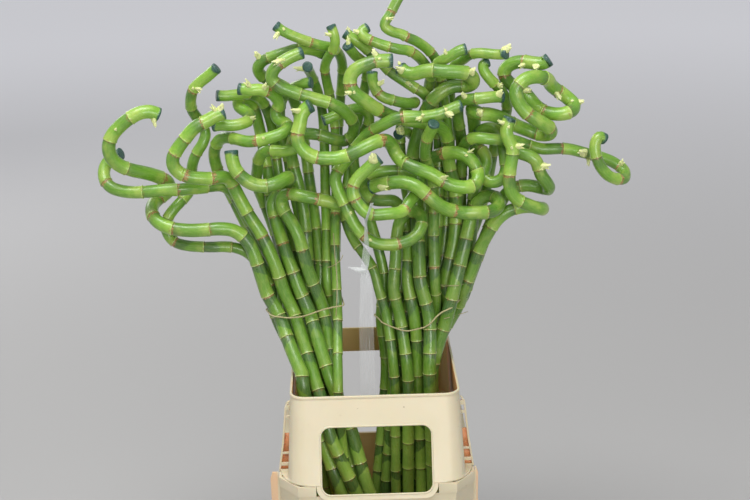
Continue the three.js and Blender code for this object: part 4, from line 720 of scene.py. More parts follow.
        (365, 669, -11), (353, 676, -11), (340, 681, -12), (327, 685, -14), (313, 689, -16),
        (299, 693, -17), (285, 695, -18), (270, 695, -19), (256, 695, -19), (242, 698, -19),
        (228, 703, -20), (213, 708, -22), (197, 710, -25), (182, 711, -28), (168, 713, -29),
        (155, 714, -25), (144, 710, -14), (137, 700, 1), (134, 685, 16), (133, 662, 29), (130, 630, 38),
        (124, 590, 42), (113, 545, 40), (98, 498, 35),
    ], shoots=[
        (319, 688, -6, -10, 3, 5), (321, 678, 0, -3, -12, 2.5), (366, 662, 2, -8, 6, 3),
    ]),
    dict(name="cane_right_face", d=17, waist=(94, 0), route=[
        (98, 738, -74), (95, 731, -68), (90, 722, -58), (86, 712, -48), (84, 700, -39), (84, 688, -31),
        (88, 674, -24), (93, 658, -19), (95, 640, -16), (95, 615, -13), (94, 585, -12), (94, 545, -14),
        (94, 500, -18),
    ]),
    dict(name="cane_mid_under", d=16, waist=(17, -2), route=[
        (-64, 746, -14), (-50, 750, -14), (-36, 755, -11), (-21, 760, -5), (-7, 761, 2), (3, 753, 8),
        (3, 740, 12), (-5, 727, 15), (-14, 713, 19), (-20, 693, 24), (-16, 658, 28), (-2, 610, 20),
        (11, 560, 8), (21, 508, 0),
    ]),
    dict(name="cane_mid_sprout", d=15, waist=(28, 17), route=[
        (44, 722, -8), (56, 726, 4), (67, 722, 20), (76, 712, 40), (78, 690, 58), (76, 655, 66),
        (70, 615, 57), (60, 570, 39), (47, 510, 19),
    ], shoots=[
        (44, 723, -2, -10, 6, 5),
    ]),
]
EYE = (-28.9, -2432.0, 1188.4)  # where the front is seen from
NECK_HEIGHT = 368.0
FOOT_HEIGHT = 3.3
NECK_SPREAD, FOOT_SPREAD_X, FOOT_SPREAD_Y = 1.8, 0.95, 1.15
STAGGER = 6  # by turns the canes stand this far in front of the neck's middle and behind it
# For each bundle: the height and the middle of its waist, where and how narrow its neck is, how
# deep the neck stands, and where its feet stand.
LEFT_SHAPE = dict(waist=464, still=-73, narrow=0.52, neck=-32, foot_x=-20, middle=-92, foot_y=-46)
RIGHT_SHAPE = dict(waist=452, still=30, narrow=0.6, neck=8, foot_x=42, middle=73, foot_y=44)


def on_sight(x, z, y):
    """Where the sight line through x and height z on the middle plane crosses the plane at depth
    y. The share of the way from the eye is t = (y - eye's depth) / -(eye's depth)."""
    t = (y - EYE[1]) / -EYE[1]
    return EYE[0] + (x - EYE[0]) * t, EYE[2] + (z - EYE[2]) * t


def seen(point):
    """The point (x, height, depth) slid along its sight line to that depth."""
    x, z, y = point
    slid_x, slid_z = on_sight(x, z, y)
    return slid_x, y, slid_z


def lengths_along(path):
    return np.concatenate([[0], np.cumsum(np.linalg.norm(np.diff(path, axis=0), axis=1))])


def smooth_path(points, step=5.0):
    """A centripetal Catmull-Rom curve through the points, sampled evenly every step millimetres:
    between two points each coordinate is a cubic, whose end slopes come from the neighbouring
    points weighted by the square root of their distances."""
    p = np.array(points, float)
    p = np.vstack([2 * p[0] - p[1], p, 2 * p[-1] - p[-2]])
    gap = np.sqrt(np.linalg.norm(np.diff(p, axis=0), axis=1))[:, None]
    before, here, after = gap[:-2], gap[1:-1], gap[2:]
    p0, p1, p2, p3 = p[:-3], p[1:-2], p[2:-1], p[3:]
    slope1 = here * ((p1 - p0) / before - (p2 - p0) / (before + here) + (p2 - p1) / here)
    slope2 = here * ((p2 - p1) / here - (p3 - p1) / (here + after) + (p3 - p2) / after)

    def cubic(place):
        k = np.minimum(place.astype(int), len(p1) - 1)
        t = (place - k)[:, None]
        return (p1[k] + slope1[k] * t + (-3 * p1[k] + 3 * p2[k] - 2 * slope1[k] - slope2[k]) * t**2
                + (2 * p1[k] - 2 * p2[k] + slope1[k] + slope2[k]) * t**3)

    place = np.linspace(0, len(p1), 1201)
    run = lengths_along(cubic(place))
    count = int(math.floor(run[-1] / step + 0.5))
    # the curve is read at even lengths, from its own parameter, as the solids are
    return cubic(np.interp(np.linspace(0, run[-1], count + 1), run, place))


def lay_out(bundle, shape):
    """Each cane's line from its foot on the bucket's floor, through the neck inside the collar and
    the tied waist, to its tip. The front row has its own places at neck and foot in low."""
    for place, cane in enumerate(bundle):
        wx, wy = cane["waist"]
        neck_x, foot_x, foot_y = cane.get("low", (
            shape["still"] + (wx - shape["still"]) * shape["narrow"],
            shape["foot_x"] + (wx - shape["middle"]) * FOOT_SPREAD_X, wy * FOOT_SPREAD_Y + shape["foot_y"]))
        neck_y = wy * NECK_SPREAD + (STAGGER if place % 2 else -STAGGER) + shape["neck"]
        neck = np.array([neck_x, neck_y, NECK_HEIGHT])
        foot = np.array([foot_x, foot_y, FOOT_HEIGHT])
        low = [foot + (neck - foot) * part for part in (0.0, 0.25, 0.5, 0.75, 1.0)]
        curl = [seen(point) for point in reversed(cane["route"])]
        cane["line"] = smooth_path([*low, (wx, wy, shape["waist"]), *curl])


COLLAR_ROOM = 114.5  # half the room inside the collar's rim
THICKEST = 20  # the thickest cane
CROSSING = 9  # points of one cane that are this many steps apart are kept apart too


def ease_apart(canes, air=2.4, rounds=420, fading=180):
    """Canes that would run through each other are eased apart, mostly in depth. In each round
    every two points that are closer than their canes' thickness plus the air are pushed apart
    by up to 4 mm, and the shift of each point is smoothed with its neighbours' along the cane.
    In the first rounds the shift of a point that nothing pushes fades away."""
    start = np.vstack([cane["line"] for cane in canes])
    count = [len(cane["line"]) for cane in canes]
    owner = np.repeat(np.arange(len(canes)), count)
    first = np.cumsum([0, *count[:-1]])
    place = np.arange(len(start)) - first[owner]
    inner = (place > 0) & (place < np.array(count)[owner] - 1)
    thick = np.array([cane["d"] for cane in canes], float)[owner]
    weight = np.array([0.45, 1.0, 0.45])
    reach = COLLAR_ROOM - thick / 2
    move = np.zeros_like(start)
    line = start.copy()
    margin = 8.0
    paired_at = None
    for turn in range(rounds):
        if paired_at is None or ((line - paired_at) ** 2).sum(1).max() > (margin / 2) ** 2:
            paired_at = line.copy()
            near = line.astype(np.float32)
            square = (near**2).sum(1)
            close = square[:, None] + square[None] - 2 * near @ near.T < (THICKEST + air + margin) ** 2
            a, b = np.nonzero(np.triu(close, 1))
            keep = (owner[a] != owner[b]) | (b >= a + CROSSING)
            a, b = a[keep], b[keep]
            least = (thick[a] + thick[b]) / 2 + air
        apart = line[a] - line[b]
        length = np.sqrt((apart**2).sum(1))
        hit = length < least
        way = apart[hit] * weight
        flat = (way**2).sum(1) < 1e-6
        way[flat] = (0, 1, 0)
        way *= (np.minimum(4, (least[hit] - length[hit]) * 0.55) / np.sqrt((way**2).sum(1)))[:, None]
        both = np.concatenate([a[hit], b[hit]])
        tally = np.bincount(both, minlength=len(line))
        push = np.stack([np.bincount(both, np.concatenate([way[:, k], -way[:, k]]), len(line))
                         for k in range(3)], 1)
        touched = tally > 0
        move[touched] += push[touched] / tally[touched, None]
        if turn < fading:
            move[~touched] *= 0.99
        old = move.copy()
        k = np.nonzero(inner)[0]
        move[k] = 0.4 * old[k] + 0.3 * old[k - 1] + 0.3 * old[k + 1]
        move[first, 2] = 0
        line = start + move
        out = (line[:, 2] < COLLAR_TOP + 12) & (np.abs(line[:, 0]) > reach)
        edge = np.sign(line[out, 0]) * reach[out]
        move[out, 0] += edge - line[out, 0]
        line[out, 0] = edge
    for cane, low, many in zip(canes, first, count):
        cane["line"] = line[low:low + many]


lay_out(LEFT_BUNDLE, LEFT_SHAPE)
lay_out(RIGHT_BUNDLE, RIGHT_SHAPE)
canes = LEFT_BUNDLE + RIGHT_BUNDLE
ease_apart(canes)


def tube_frames(path):
    """Two directions square to a path that turn as little as possible round it: each side is
    carried to the next tangent by the smallest turn, and the angles left over are summed."""
    along = np.gradient(path, axis=0)
    along /= np.linalg.norm(along, axis=1)[:, None]
    axis = np.eye(3)[np.abs(along).argmin(1)]
    side = np.cross(along, axis)
    side /= np.linalg.norm(side, axis=1)[:, None]
    across = np.cross(along, side)
    a, b = along[:-1], along[1:]
    lean = (b * side[:-1]).sum(1) / (1 + (a * b).sum(1))
    carried = side[:-1] - lean[:, None] * (a + b)
    left = np.arctan2((carried * across[1:]).sum(1), (carried * side[1:]).sum(1))
    turn = np.concatenate([[0], np.cumsum(left)])[:, None]
    even = np.cos(turn) * side + np.sin(turn) * across
    return even, np.cross(along, even)


def swept(path, side, across, out, over):
    """Rings of points round a path: out and over are how far each stands off it along its two
    side directions."""
    return path[:, None] + out[..., None] * side[:, None] + over[..., None] * across[:, None]


def read_line(line, s):
    """The points of a line at the lengths s along it, on cubics through its own points."""
    run = lengths_along(line)
    slope = np.gradient(line, run, axis=0)
    k = np.clip(np.searchsorted(run, s, side="right") - 1, 0, len(line) - 2)
    wide = (run[k + 1] - run[k])[:, None]
    t = (np.asarray(s)[:, None] - run[k][:, None]) / wide
    return ((2 * t**3 - 3 * t**2 + 1) * line[k] + (t**3 - 2 * t**2 + t) * wide * slope[k]
            + (3 * t**2 - 2 * t**3) * line[k + 1] + (t**3 - t**2) * wide * slope[k + 1])


def round_mesh(name, grid, material, v, marks=None):
    """A closed skin on a grid of points (rows along the piece, columns round it) in millimetres.
    Each point joins the next one round and the next row, and a fan closes either end. In the UV
    map u goes from 0 to 1 round the piece, and v has one value for each row."""
    rows, cols = grid.shape[:2]
    points = np.vstack([grid.reshape(-1, 3), grid[0].mean(0)[None], grid[-1].mean(0)[None]]) * MM
    i, j = np.meshgrid(np.arange(rows - 1), np.arange(cols), indexing="ij")
    n = (j + 1) % cols
    m = i + 1
    quads = np.stack([i * cols + j, i * cols + n, m * cols + n, m * cols + j], -1).reshape(-1, 4)
    c = np.arange(cols)
    foot = np.stack([np.full(cols, rows * cols), (c + 1) % cols, c], 1)
    last = (rows - 1) * cols
    tip = np.stack([np.full(cols, rows * cols + 1), last + c, last + (c + 1) % cols], 1)
    corners = np.concatenate([quads.ravel(), foot.ravel(), tip.ravel()])
    starts = np.concatenate([np.arange(len(quads)) * 4, len(quads) * 4 + np.arange(2 * cols) * 3])
    mesh = bpy.data.meshes.new(name)
    mesh.vertices.add(len(points))
    mesh.vertices.foreach_set("co", points.ravel())
    mesh.loops.add(len(corners))
    mesh.loops.foreach_set("vertex_index", corners)
    mesh.polygons.add(len(starts))
    mesh.polygons.foreach_set("loop_start", starts)
    mesh.update(calc_edges=True)
    u0, v0 = j.ravel() / cols, v[i.ravel()]
    u1, v1 = (j.ravel() + 1) / cols, v[i.ravel() + 1]
    flat = np.stack([u0, v0, u1, v0, u1, v1, u0, v1], 1).reshape(-1, 2)
    middle = (c + 0.5) / cols
    fan0 = np.stack([middle, np.full(cols, v[0]), (c + 1) / cols, np.full(cols, v[0]),
                     c / cols, np.full(cols, v[0])], 1).reshape(-1, 2)
    fan1 = np.stack([middle, np.full(cols, v[-1]), c / cols, np.full(cols, v[-1]),
                     (c + 1) / cols, np.full(cols, v[-1])], 1).reshape(-1, 2)
    layer = mesh.uv_layers.new(name="round_and_along")
    layer.data.foreach_set("uv", np.vstack([flat, fan0, fan1]).ravel())
    for mark, values in (marks or {}).items():
        values = np.asarray(values, float)
        values = np.broadcast_to(values if values.ndim == 2 else values[:, None], (rows, cols))
        full = np.concatenate([values.ravel(), [values[0].mean(), values[-1].mean()]])
        mesh.attributes.new(mark, "FLOAT", "POINT").data.foreach_set("value", full.astype(np.float32))
    mesh.shade_smooth()
    mesh.materials.append(material)
    piece = placed(name, mesh)
    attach(piece, "root")
    return piece


skin = Paint("cane_skin")
u_round, v_along, _ = skin.parts(skin.unrolled())
since, until, facing, tongue_length, tint, waxed, scarred, curled = map(skin.attribute, (
    "since", "until", "facing", "tongue", "tint", "waxed", "scarred", "curled"))
# a seamless coordinate on the cane's skin: a circle round it and the length along it
angle = skin.times(u_round, 2 * math.pi)
wrap = skin.add("ShaderNodeCombineXYZ", {"X": skin.sum("COSINE", angle), "Y": skin.sum("SINE", angle),
                                         "Z": skin.times(v_along, 0.1)}).outputs[0]
streak = skin.noise(skin.vector("MULTIPLY", wrap, (9.0, 9.0, 0.9)), 1.0, 4.0, 0.6)
mottle = skin.noise(wrap, 1.1, 4.0, 0.6)
wobble = skin.noise(wrap, 3.0, 3.0, 0.5)
# each stretch between joints is palest at its foot and grows darker towards the next joint
share = skin.sum("DIVIDE", since, skin.sum("MAXIMUM", skin.sum("ADD", since, until), 1.0))
shifted = skin.sum("ADD", share, skin.spread(mottle, 0.3, 0.7, -0.12, 0.12))
green = skin.add("ShaderNodeValToRGB", {"Fac": shifted})
ramp = green.color_ramp
ramp.elements[0].position, ramp.elements[0].color = 0.0, srgb(162, 200, 80)
ramp.elements[1].position, ramp.elements[1].color = 1.0, srgb(92, 144, 42)
ramp.elements.new(0.35).color = srgb(124, 176, 52)
body = skin.tinge(skin.times(tint, 0.85), green.outputs["Color"], 74, 122, 38)
body = skin.tinge(skin.spread(skin.noise(wrap, 0.45, 2.0), 0.5, 0.7, 0.0, 0.45), body, 176, 196, 92)
height = skin.parts(skin.place())["Z"]
# painted shade: the straight canes of the bundles are painted darker from about the collar's top upwards,
# for the shade they stand in, packed close under the curls
straight = skin.scaled(curled, -0.46, 0.46)
body = skin.tinge(skin.times(straight, skin.spread(height, 0.28, 0.37)), body, 60, 104, 14)
# painted light: lower down, in the collar and the bucket, the skin is painted paler, the more the lower it
# is, so that the canes seen through the windows look brighter
body = skin.tinge(skin.spread(height, 0.36, 0.26, 0.0, 0.35), body, 172, 206, 98)
# where the old leaf clasped the cane the skin below the joint stayed dark, in a slanting tongue
turned = skin.sum("FRACT", skin.sum("ADD", skin.sum("SUBTRACT", u_round, facing), 0.5))
off_side = skin.sum("ABSOLUTE", skin.sum("SUBTRACT", turned, 0.5))
tongue = skin.times(tongue_length, skin.scaled(off_side, -1.7, 1.15))
tongue = skin.sum("ADD", tongue, skin.scaled(wobble, 5.0, -2.5))
beneath = skin.sum("SUBTRACT", tongue, until)
crisp = skin.spread(beneath, -1.2, 1.4)
soft = skin.spread(beneath, -6.0, 8.0)
dark = skin.scaled(curled, skin.sum("SUBTRACT", soft, crisp), crisp)
dark_green = skin.over(share, srgb(72, 116, 48), srgb(50, 92, 42))
body = skin.over(skin.times(dark, skin.scaled(curled, -0.35, 0.88)), body, dark_green)
body = skin.tinge(skin.spread(streak, 0.35, 0.75, 0.0, 0.22), body, 196, 214, 120)
fleck = skin.spread(skin.noise(wrap, 6.0, 3.0, 0.7), 0.66, 0.74, 0.0, 0.4)
body = skin.tinge(fleck, body, 168, 160, 92)
# the joint: a thin pale edge with a brownish line under it, and a tan scar where a leaf tore off
rim = skin.spread(since, 1.5, 0.6)
body = skin.tinge(skin.times(rim, skin.scaled(curled, -0.4, 0.8)), body, 214, 222, 150)
body = skin.tinge(skin.times(skin.spread(until, 1.3, 0.4), 0.6), body, 112, 112, 56)
ragged = skin.times(scarred, skin.spread(wobble, 0.28, 0.68, 0.0, 9.0))
scar = skin.spread(skin.sum("SUBTRACT", ragged, until), -0.8, 0.5)
rough = skin.spread(skin.noise(wrap, 5.0, 3.0), 0.4, 0.6)
scar_tone = skin.tinge(rough, srgb(196, 156, 104), 140, 92, 50)
body = skin.over(skin.times(scar, 0.85), body, scar_tone)
near_joint = skin.spread(skin.sum("MINIMUM", since, until), 5.0, 0.5)
crust = skin.times(skin.spread(skin.noise(wrap, 2.6, 4.0, 0.65), 0.52, 0.62), near_joint)
body = skin.tinge(skin.times(crust, 0.75), body, 150, 112, 62)
wax = skin.over(skin.spread(skin.noise(wrap, 7.0, 4.0, 0.7), 0.52, 0.66, 0.0, 0.7),
                srgb(40, 80, 70), srgb(104, 142, 126))
body = skin.over(waxed, body, wax)
relief = skin.bump(streak, 0.0005, 0.35)
relief = skin.bump(skin.noise(wrap, 1.8, 3.0), 0.0012, 0.3, relief)
relief = skin.bump(skin.noise(wrap, 22.0, 3.0), 0.00025, 0.2, relief)
relief = skin.bump(skin.times(waxed, skin.noise(wrap, 6.0, 4.0, 0.7)), 0.0012, 0.8, relief)
skin.shade(Base_Color=body, Roughness=skin.scaled(mottle, 0.2, 0.2),
           Subsurface_Weight=0.08, Subsurface_Radius=(0.6, 1.0, 0.2), Subsurface_Scale=0.003,
           Coat_Weight=0.3, Coat_Roughness=0.12, Normal=relief)

# Joints that the front shows, as x and height on the middle plane, some with how scarred they are.
SEEN_JOINTS = {
    "cane_left_hook": [(-341, 760), (-350, 681), (-303, 671, 0.9), (-166, 534), (-149, 486, 0.3),
                       (-132, 419), (-114, 358)],
    "cane_left_arch": [(-238, 751, 0.3), (-262, 722), (-280, 703, 0.3), (-228, 664, 1.0), (-164, 574, 0.3),
                       (-137, 515), (-119, 452), (-108, 387), (-88, 335)],
    "cane_left_low": [(-381, 662, 0.6), (-327, 648), (-278, 650, 0.4)],
    "cane_left_knot": [(-184, 675, 0.3), (-147, 650), (-118, 519), (-100, 438), (-83, 370)],
    "cane_left_pair": [(-157, 721, 0.8), (-114, 739)],
    "cane_left_tall": [(-248, 796, 0.5), (-252, 769), (-273, 632), (-294, 608), (-286, 570, 0.5),
                       (-242, 562), (-167, 497, 0.3), (-152, 450)],
    "cane_left_stub": [(-169, 749)],
    "cane_left_coil": [(-119, 832, 0.6), (-95, 786)],
    "cane_left_flag": [(-77, 860, 0.6)],
    "cane_left_middle": [(-75, 632, 0.7), (-117, 610), (-101, 552), (-91, 501), (-83, 447), (-72, 396),
                         (-64, 356)],
    "cane_left_back": [(-64, 536), (-68, 486), (-61, 412)],
    "cane_left_sprig": [(-49, 557), (-52, 492)],
    "cane_mid_dark": [(14, 474), (18, 410), (23, 352)],
    "cane_mid_serpent": [(-101, 728, 0.5), (-29, 697), (18, 716, 0.9), (56, 683), (110, 654, 0.4),
                         (154, 640), (159, 667), (112, 693, 1.0)],
    "cane_mid_loop": [(53, 752, 0.5), (81, 749), (115, 747), (-46, 672), (43, 557, 0.7), (39, 478),
                      (40, 431), (43, 387), (45, 348)],
    "cane_mid_front": [(14, 830), (17, 760, 0.5)],
    "cane_mid_cup": [(15, 779, 0.5), (39, 773)],
    "cane_mid_ring": [(-24, 649, 0.5), (-18, 628, 0.5), (6, 604), (52, 607, 0.6), (54, 531), (58, 472),
                      (63, 411), (69, 354)],
    "cane_mid_sweep": [(31, 650), (86, 632, 0.6), (126, 609, 0.6), (173, 603), (131, 567), (138, 522),
                       (125, 472), (112, 421)],
    "cane_top_step": [(8, 860, 0.5), (38, 852), (68, 848, 0.4)],
    "cane_top_reach": [(36, 905, 0.6), (58, 861, 0.6), (93, 842, 0.4)],
    "cane_right_drum": [(98, 815), (147, 810), (75, 507), (80, 465), (87, 423), (89, 385), (93, 355)],
    "cane_right_bar": [(157, 836)],
    "cane_right_face": [(88, 717, 0.6), (89, 522, 0.4)],
    "cane_right_spiral": [(231, 746, 0.6), (257, 804), (291, 748), (229, 779), (169, 752)],
    "cane_right_post": [(212, 690), (207, 661, 0.5), (226, 616)],
    "cane_right_hook": [(254, 669)],
    "cane_right_far": [(284, 695, 0.6), (321, 688), (366, 662, 0.4)],
}
ROUND = 28
STRAIGHT_TOP = 575.0  # above this height the canes are curled
CLOSEST_JOINTS = 13
CURL_FROM, SCARS_FROM = 520, 560  # as lengths from a cane's foot
STRAIGHT_GAP, CURL_GAP = 50.0, 46.0
# The rows of points along a cane: even ones, and close ones by each joint and by the cut tip.
ROW_STEP = 3.6
JOINT_ROWS = np.array([-4.5, -2.4, -1.2, -0.45, 0.0, 0.35, 0.8, 1.4, 2.6, 4.8])
TIP_ROWS = np.array([9.0, 6.2, 5.4, 3.0, 1.2, 0.5, 0.15, 0.0])
# How much a cane swells above a joint and shrinks below it, each with the length that it dies
# away over, and the rim on the joint with its height and width.
SWELL, SWELL_OVER, SHRINK, SHRINK_OVER = 0.5, 6.0, 0.45, 5.0
RIM, RIM_ABOVE, RIM_WIDE = 0.35, 0.7, 0.55
WAX_LONG, WAX_THICK = 4.8, 0.3
TIP_ROUND = [(0.0, 0.55), (0.15, 0.84), (0.5, 0.95), (1.2, 0.99), (2.0, 1.0)]  # share by distance


def nearest_on(line, x, z):
    """The place on a line that is nearest to (x, z) as the front sees them, and rather in front:
    each point's distance is taken on the upright plane through it."""
    seen_x, seen_z = on_sight(x, z, line[:, 1])
    return (np.hypot(seen_x - line[:, 0], seen_z - line[:, 2]) + 0.02 * (line[:, 1] + 100)).argmin()


def joints_along(cane, run, draw):
    """Where a cane's joints are, in millimetres from its foot, and how scarred each is: those
    that the picture shows, and even ones between them, about 50 mm apart."""
    marks = sorted((run[nearest_on(cane["line"], x, z)], *(scar or [0.0]))
                   for x, z, *scar in SEEN_JOINTS.get(cane["name"], []))
    marks = [mark for k, mark in enumerate(marks) if k == 0 or mark[0] > marks[k - 1][0] + CLOSEST_JOINTS]
    stops = [0.0, *(mark[0] for mark in marks), run[-1]]
    found = list(marks)
    for low, high in zip(stops[:-1], stops[1:]):
        many = int(round((high - low) / (STRAIGHT_GAP if high < CURL_FROM else CURL_GAP)))
        for k in range(1, many):
            scar = draw.uniform(0.3, 0.9) if low > SCARS_FROM and draw.uniform() < 0.6 else 0.0
            found.append((low + (high - low) * (k + draw.uniform(-0.12, 0.12)) / many, scar))
    return np.array(sorted(found)).T


def cane_piece(cane, order):
    """A cane as a surface of the length s along it and the angle u round it. Its radius is the
    cane's own, wider by a flare that dies away exponentially above each joint, narrower by one
    that dies away below it, with a thin rim on the joint and a slow oval round it."""
    draw = np.random.default_rng(7100 + order)
    line = cane["line"]
    run = lengths_along(line)
    length = run[-1]
    joints, scars = joints_along(cane, run, draw)
    near = (joints[:, None] + JOINT_ROWS).ravel()
    plain = np.arange(0, length - 2.5, ROW_STEP)
    plain = plain[np.abs(plain[:, None] - joints).min(1) > 5.0]
    s = np.concatenate([[0.0], plain, near, length - TIP_ROWS])
    s = np.unique(np.round(s[(s >= 0) & (s <= length)], 3))
    path = read_line(line, s)
    side, across = tube_frames(path)
    u = np.arange(ROUND) / ROUND * 2 * np.pi
    ends = np.concatenate([[-30.0], joints, [length + 60.0]])
    part = np.searchsorted(joints, s + 1e-6)
    since, until = s - ends[part], ends[part + 1] - s
    many = len(ends) - 1
    facing = ((np.arange(many) % 2) * 0.5 + draw.uniform(0, 1) + draw.uniform(-0.15, 0.15, many)) % 1
    size = np.diff(ends)
    curled = np.interp(np.interp((ends[:-1] + ends[1:]) / 2, run, line[:, 2]),
                       [STRAIGHT_TOP - 25, STRAIGHT_TOP + 25], [0.0, 1.0])
    dark = draw.uniform(0, 1, many) < 0.8 - 0.5 * curled
    tongue = np.where(dark, size * draw.uniform(0.25, 0.72, many) * (1 - 0.35 * curled), 1.0)
    tint = np.clip(0.55 * draw.uniform(0, 1) ** 1.6 + 0.45 * draw.uniform(0, 1, many) ** 1.5, 0, 1)
    scarred = np.concatenate([scars, [0.0]])
    radius = cane["d"] / 2 - 0.15
    wide = radius + SWELL * np.exp(-since / SWELL_OVER) - SHRINK * np.exp(-until / SHRINK_OVER)
    wide += RIM * np.exp(-((since - RIM_ABOVE) / RIM_WIDE) ** 2)
    oval = 1 + 0.012 * np.cos(2 * u + draw.uniform(0, 6.3)) + 0.006 * np.cos(3 * u + draw.uniform(0, 6.3))
    to_tip = length - s
    wide = wide[:, None] * oval
    drip = WAX_LONG + 1.6 * np.sin(u + draw.uniform(0, 6)) + 0.9 * np.sin(3 * u + draw.uniform(0, 6))
    coat = 1 / (1 + np.exp(np.clip((to_tip[:, None] - drip) * 3.0, -30, 30)))
    wide = (wide + WAX_THICK * coat) * np.interp(to_tip, *zip(*TIP_ROUND))[:, None]
    grid = swept(path, side, across, wide * np.cos(u), wide * np.sin(u))
    marks = {"since": since, "until": until, "facing": facing[part], "tongue": tongue[part],
             "tint": tint[part], "scarred": scarred[part], "curled": curled[part], "waxed": coat}
    piece = round_mesh(cane["name"] + "_stem", grid, skin.material, s, marks)
    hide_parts(cane["name"])


for order, cane in enumerate(canes):
    cane_piece(cane, order)

# ---- shoots ----------------------------------------------------------------------------------
# Pale young side shoots: tight spindles of furled leaves that break from a joint, no longer than a
# thumbnail, yellow-green at the root and cream towards the tip.
bud_skin = Paint("furled_shoot")
grown = bud_skin.parts(bud_skin.unrolled())["Y"]
pale = bud_skin.over(grown, srgb(214, 222, 140), srgb(240, 241, 186))
folds = bud_skin.noise(bud_skin.place(), 500.0, 3.0)
bud_skin.shade(Base_Color=bud_skin.tinge(bud_skin.spread(folds, 0.4, 0.7, 0.0, 0.4), pale, 176, 196, 96),
               Roughness=0.45, Subsurface_Weight=0.25, Subsurface_Radius=(1.0, 0.9, 0.4),
               Subsurface_Scale=0.003, Normal=bud_skin.bump(folds, 0.0004, 0.4))


# As shares of the cane's thickness: how far from its middle a shoot's root lies, and how deep
# that is under the skin.
ROOT_AT, ROOT_DEEP = 0.22, 0.28
STOUT = 1.3  # the furled leaves swell to this much more than the radius that is given
LEAF_ROWS, LEAF_ROUND = 16, 14


def blade_grid(root, way, full, radius, lean, twist):
    """One furled leaf: its width swells to a third of its length and runs out to a point, it is
    pressed flatter towards the tip, and its middle line bends over by the square of the length."""
    w = np.linspace(0, 1, LEAF_ROWS)
    path = root + way * (w * full)[:, None] + lean * (full * w**2)[:, None]
    side, across = tube_frames(path)
    u = np.arange(LEAF_ROUND) / LEAF_ROUND * 2 * np.pi + twist
    wide = radius * (0.86 + 0.3 * np.sin(np.pi * np.minimum(w * 1.5, 1))) * (1 - w**3.2) ** 0.6
    ridge = 1 + 0.12 * np.cos(3 * u[None] + 4 * w[:, None])
    flat = 1 - 0.6 * w
    wide = wide[:, None] * ridge
    return swept(path, side, across, wide * np.cos(u), wide * np.sin(u) * flat[:, None])


def shoot_piece(cane, number, x, z, reach_x, reach_y, reach_z, radius):
    """A shoot is a stout furled leaf with three shorter ones spreading round it, each leaning
    outwards by a different amount, so that its end looks frayed."""
    draw = np.random.default_rng(int(abs(x) * 10 + abs(z)))
    line = cane["line"][:-2]
    root = line[nearest_on(line, x, z)]
    reach = np.array([reach_x, reach_y, reach_z], float)
    size = np.linalg.norm(reach)
    way = reach / size
    root = root + way * cane["d"] * ROOT_AT
    full = size + cane["d"] * ROOT_DEEP
    square = np.cross(way, (0.3, 0.8, 0.5))
    square /= np.linalg.norm(square)
    other = np.cross(way, square)
    radius *= STOUT
    grids = [blade_grid(root, way, full, radius, np.array([0, 0, 0.1]), 0.0)]
    for k in range(3):
        turn = 2.1 * k + draw.uniform(0, 1.2)
        out = math.cos(turn) * square + math.sin(turn) * other
        grids.append(blade_grid(root + out * radius * 0.25, way, full * draw.uniform(0.72, 0.98),
                                radius * 0.62, out * draw.uniform(0.12, 0.26), turn))
    for k, grid in enumerate(grids):
        piece = round_mesh("%s_shoot_%d_leaf_%d" % (cane["name"], number, k), grid, bud_skin.material,
                           np.linspace(0, 1, len(grid)))


for cane in canes:
    for number, shoot in enumerate(cane.get("shoots", [])):
        shoot_piece(cane, number, *shoot)

# Sleeping buds: pale scale-covered bumps no bigger than a lentil, each on a joint. They are given
# as x and height where the front shows them.
SEEN_BUDS = {
    "cane_left_hook": [(-362, 742)], "cane_left_tall": [(-236, 793)], "cane_left_flag": [(-120, 868)],
    "cane_left_pair": [(-152, 724)], "cane_left_coil": [(-116, 830)],
    "cane_mid_serpent": [(110, 656), (143, 686)], "cane_mid_front": [(17, 840), (-16, 787)],
    "cane_mid_loop": [(81, 752), (115, 750), (-28, 607), (8, 572)],
    "cane_right_drum": [(55, 824), (152, 814)], "cane_right_slip": [(193, 797)],
    "cane_right_plug": [(190, 785)], "cane_right_spiral": [(229, 782), (298, 760), (165, 755)],
    "cane_right_post": [(195, 733), (226, 703)], "cane_right_hook": [(254, 666)],
    "cane_right_far": [(363, 662)], "cane_top_reach": [(37, 888)],
}
BUD_LONG, BUD_RADIUS, BUD_DEEP = 5.2, 2.3, 1.2
for cane in canes:
    for number, (x, z) in enumerate(SEEN_BUDS.get(cane["name"], [])):
        line = cane["line"]
        k = nearest_on(line, x, z)
        ahead = line[min(k + 1, len(line) - 1)] - line[k - 1]
        ahead /= np.linalg.norm(ahead)
        out = np.array([0.25 * (-1) ** number, -0.9, 0.45])
        out -= ahead * (out @ ahead)
        out /= np.linalg.norm(out)
        grid = blade_grid(line[k] + out * (cane["d"] / 2 - BUD_DEEP), out * 0.72 + ahead * 0.69,
                          BUD_LONG, BUD_RADIUS, out * 0.1, 0.5)
        bud = round_mesh("%s_bud_%d" % (cane["name"], number), grid, bud_skin.material,
                         np.linspace(0, 1, len(grid)))

# ---- ties ------------------------------------------------------------------------------------
# A thin tan cord pulled once round each bundle at its waist, where it rests on the outer canes,
# and a few fine strands of the same cord that are drawn across the canes in front.
cord = Paint("tan_cord")
strands = cord.add("ShaderNodeTexWave", {"Vector": cord.unrolled(), "Scale": 60.0, "Distortion": 1.0},
                   bands_direction="DIAGONAL").outputs["Fac"]
cord.shade(Base_Color=cord.over(strands, srgb(168, 158, 110), srgb(206, 196, 150)), Roughness=0.6,
           Normal=cord.bump(strands, 0.0003, 0.6))


CORD_RADIUS, THREAD_RADIUS = 1.1, 0.55
CORD_OFF = 1.6  # how far the cord's middle stands off the skin
CORD_POINTS = 240


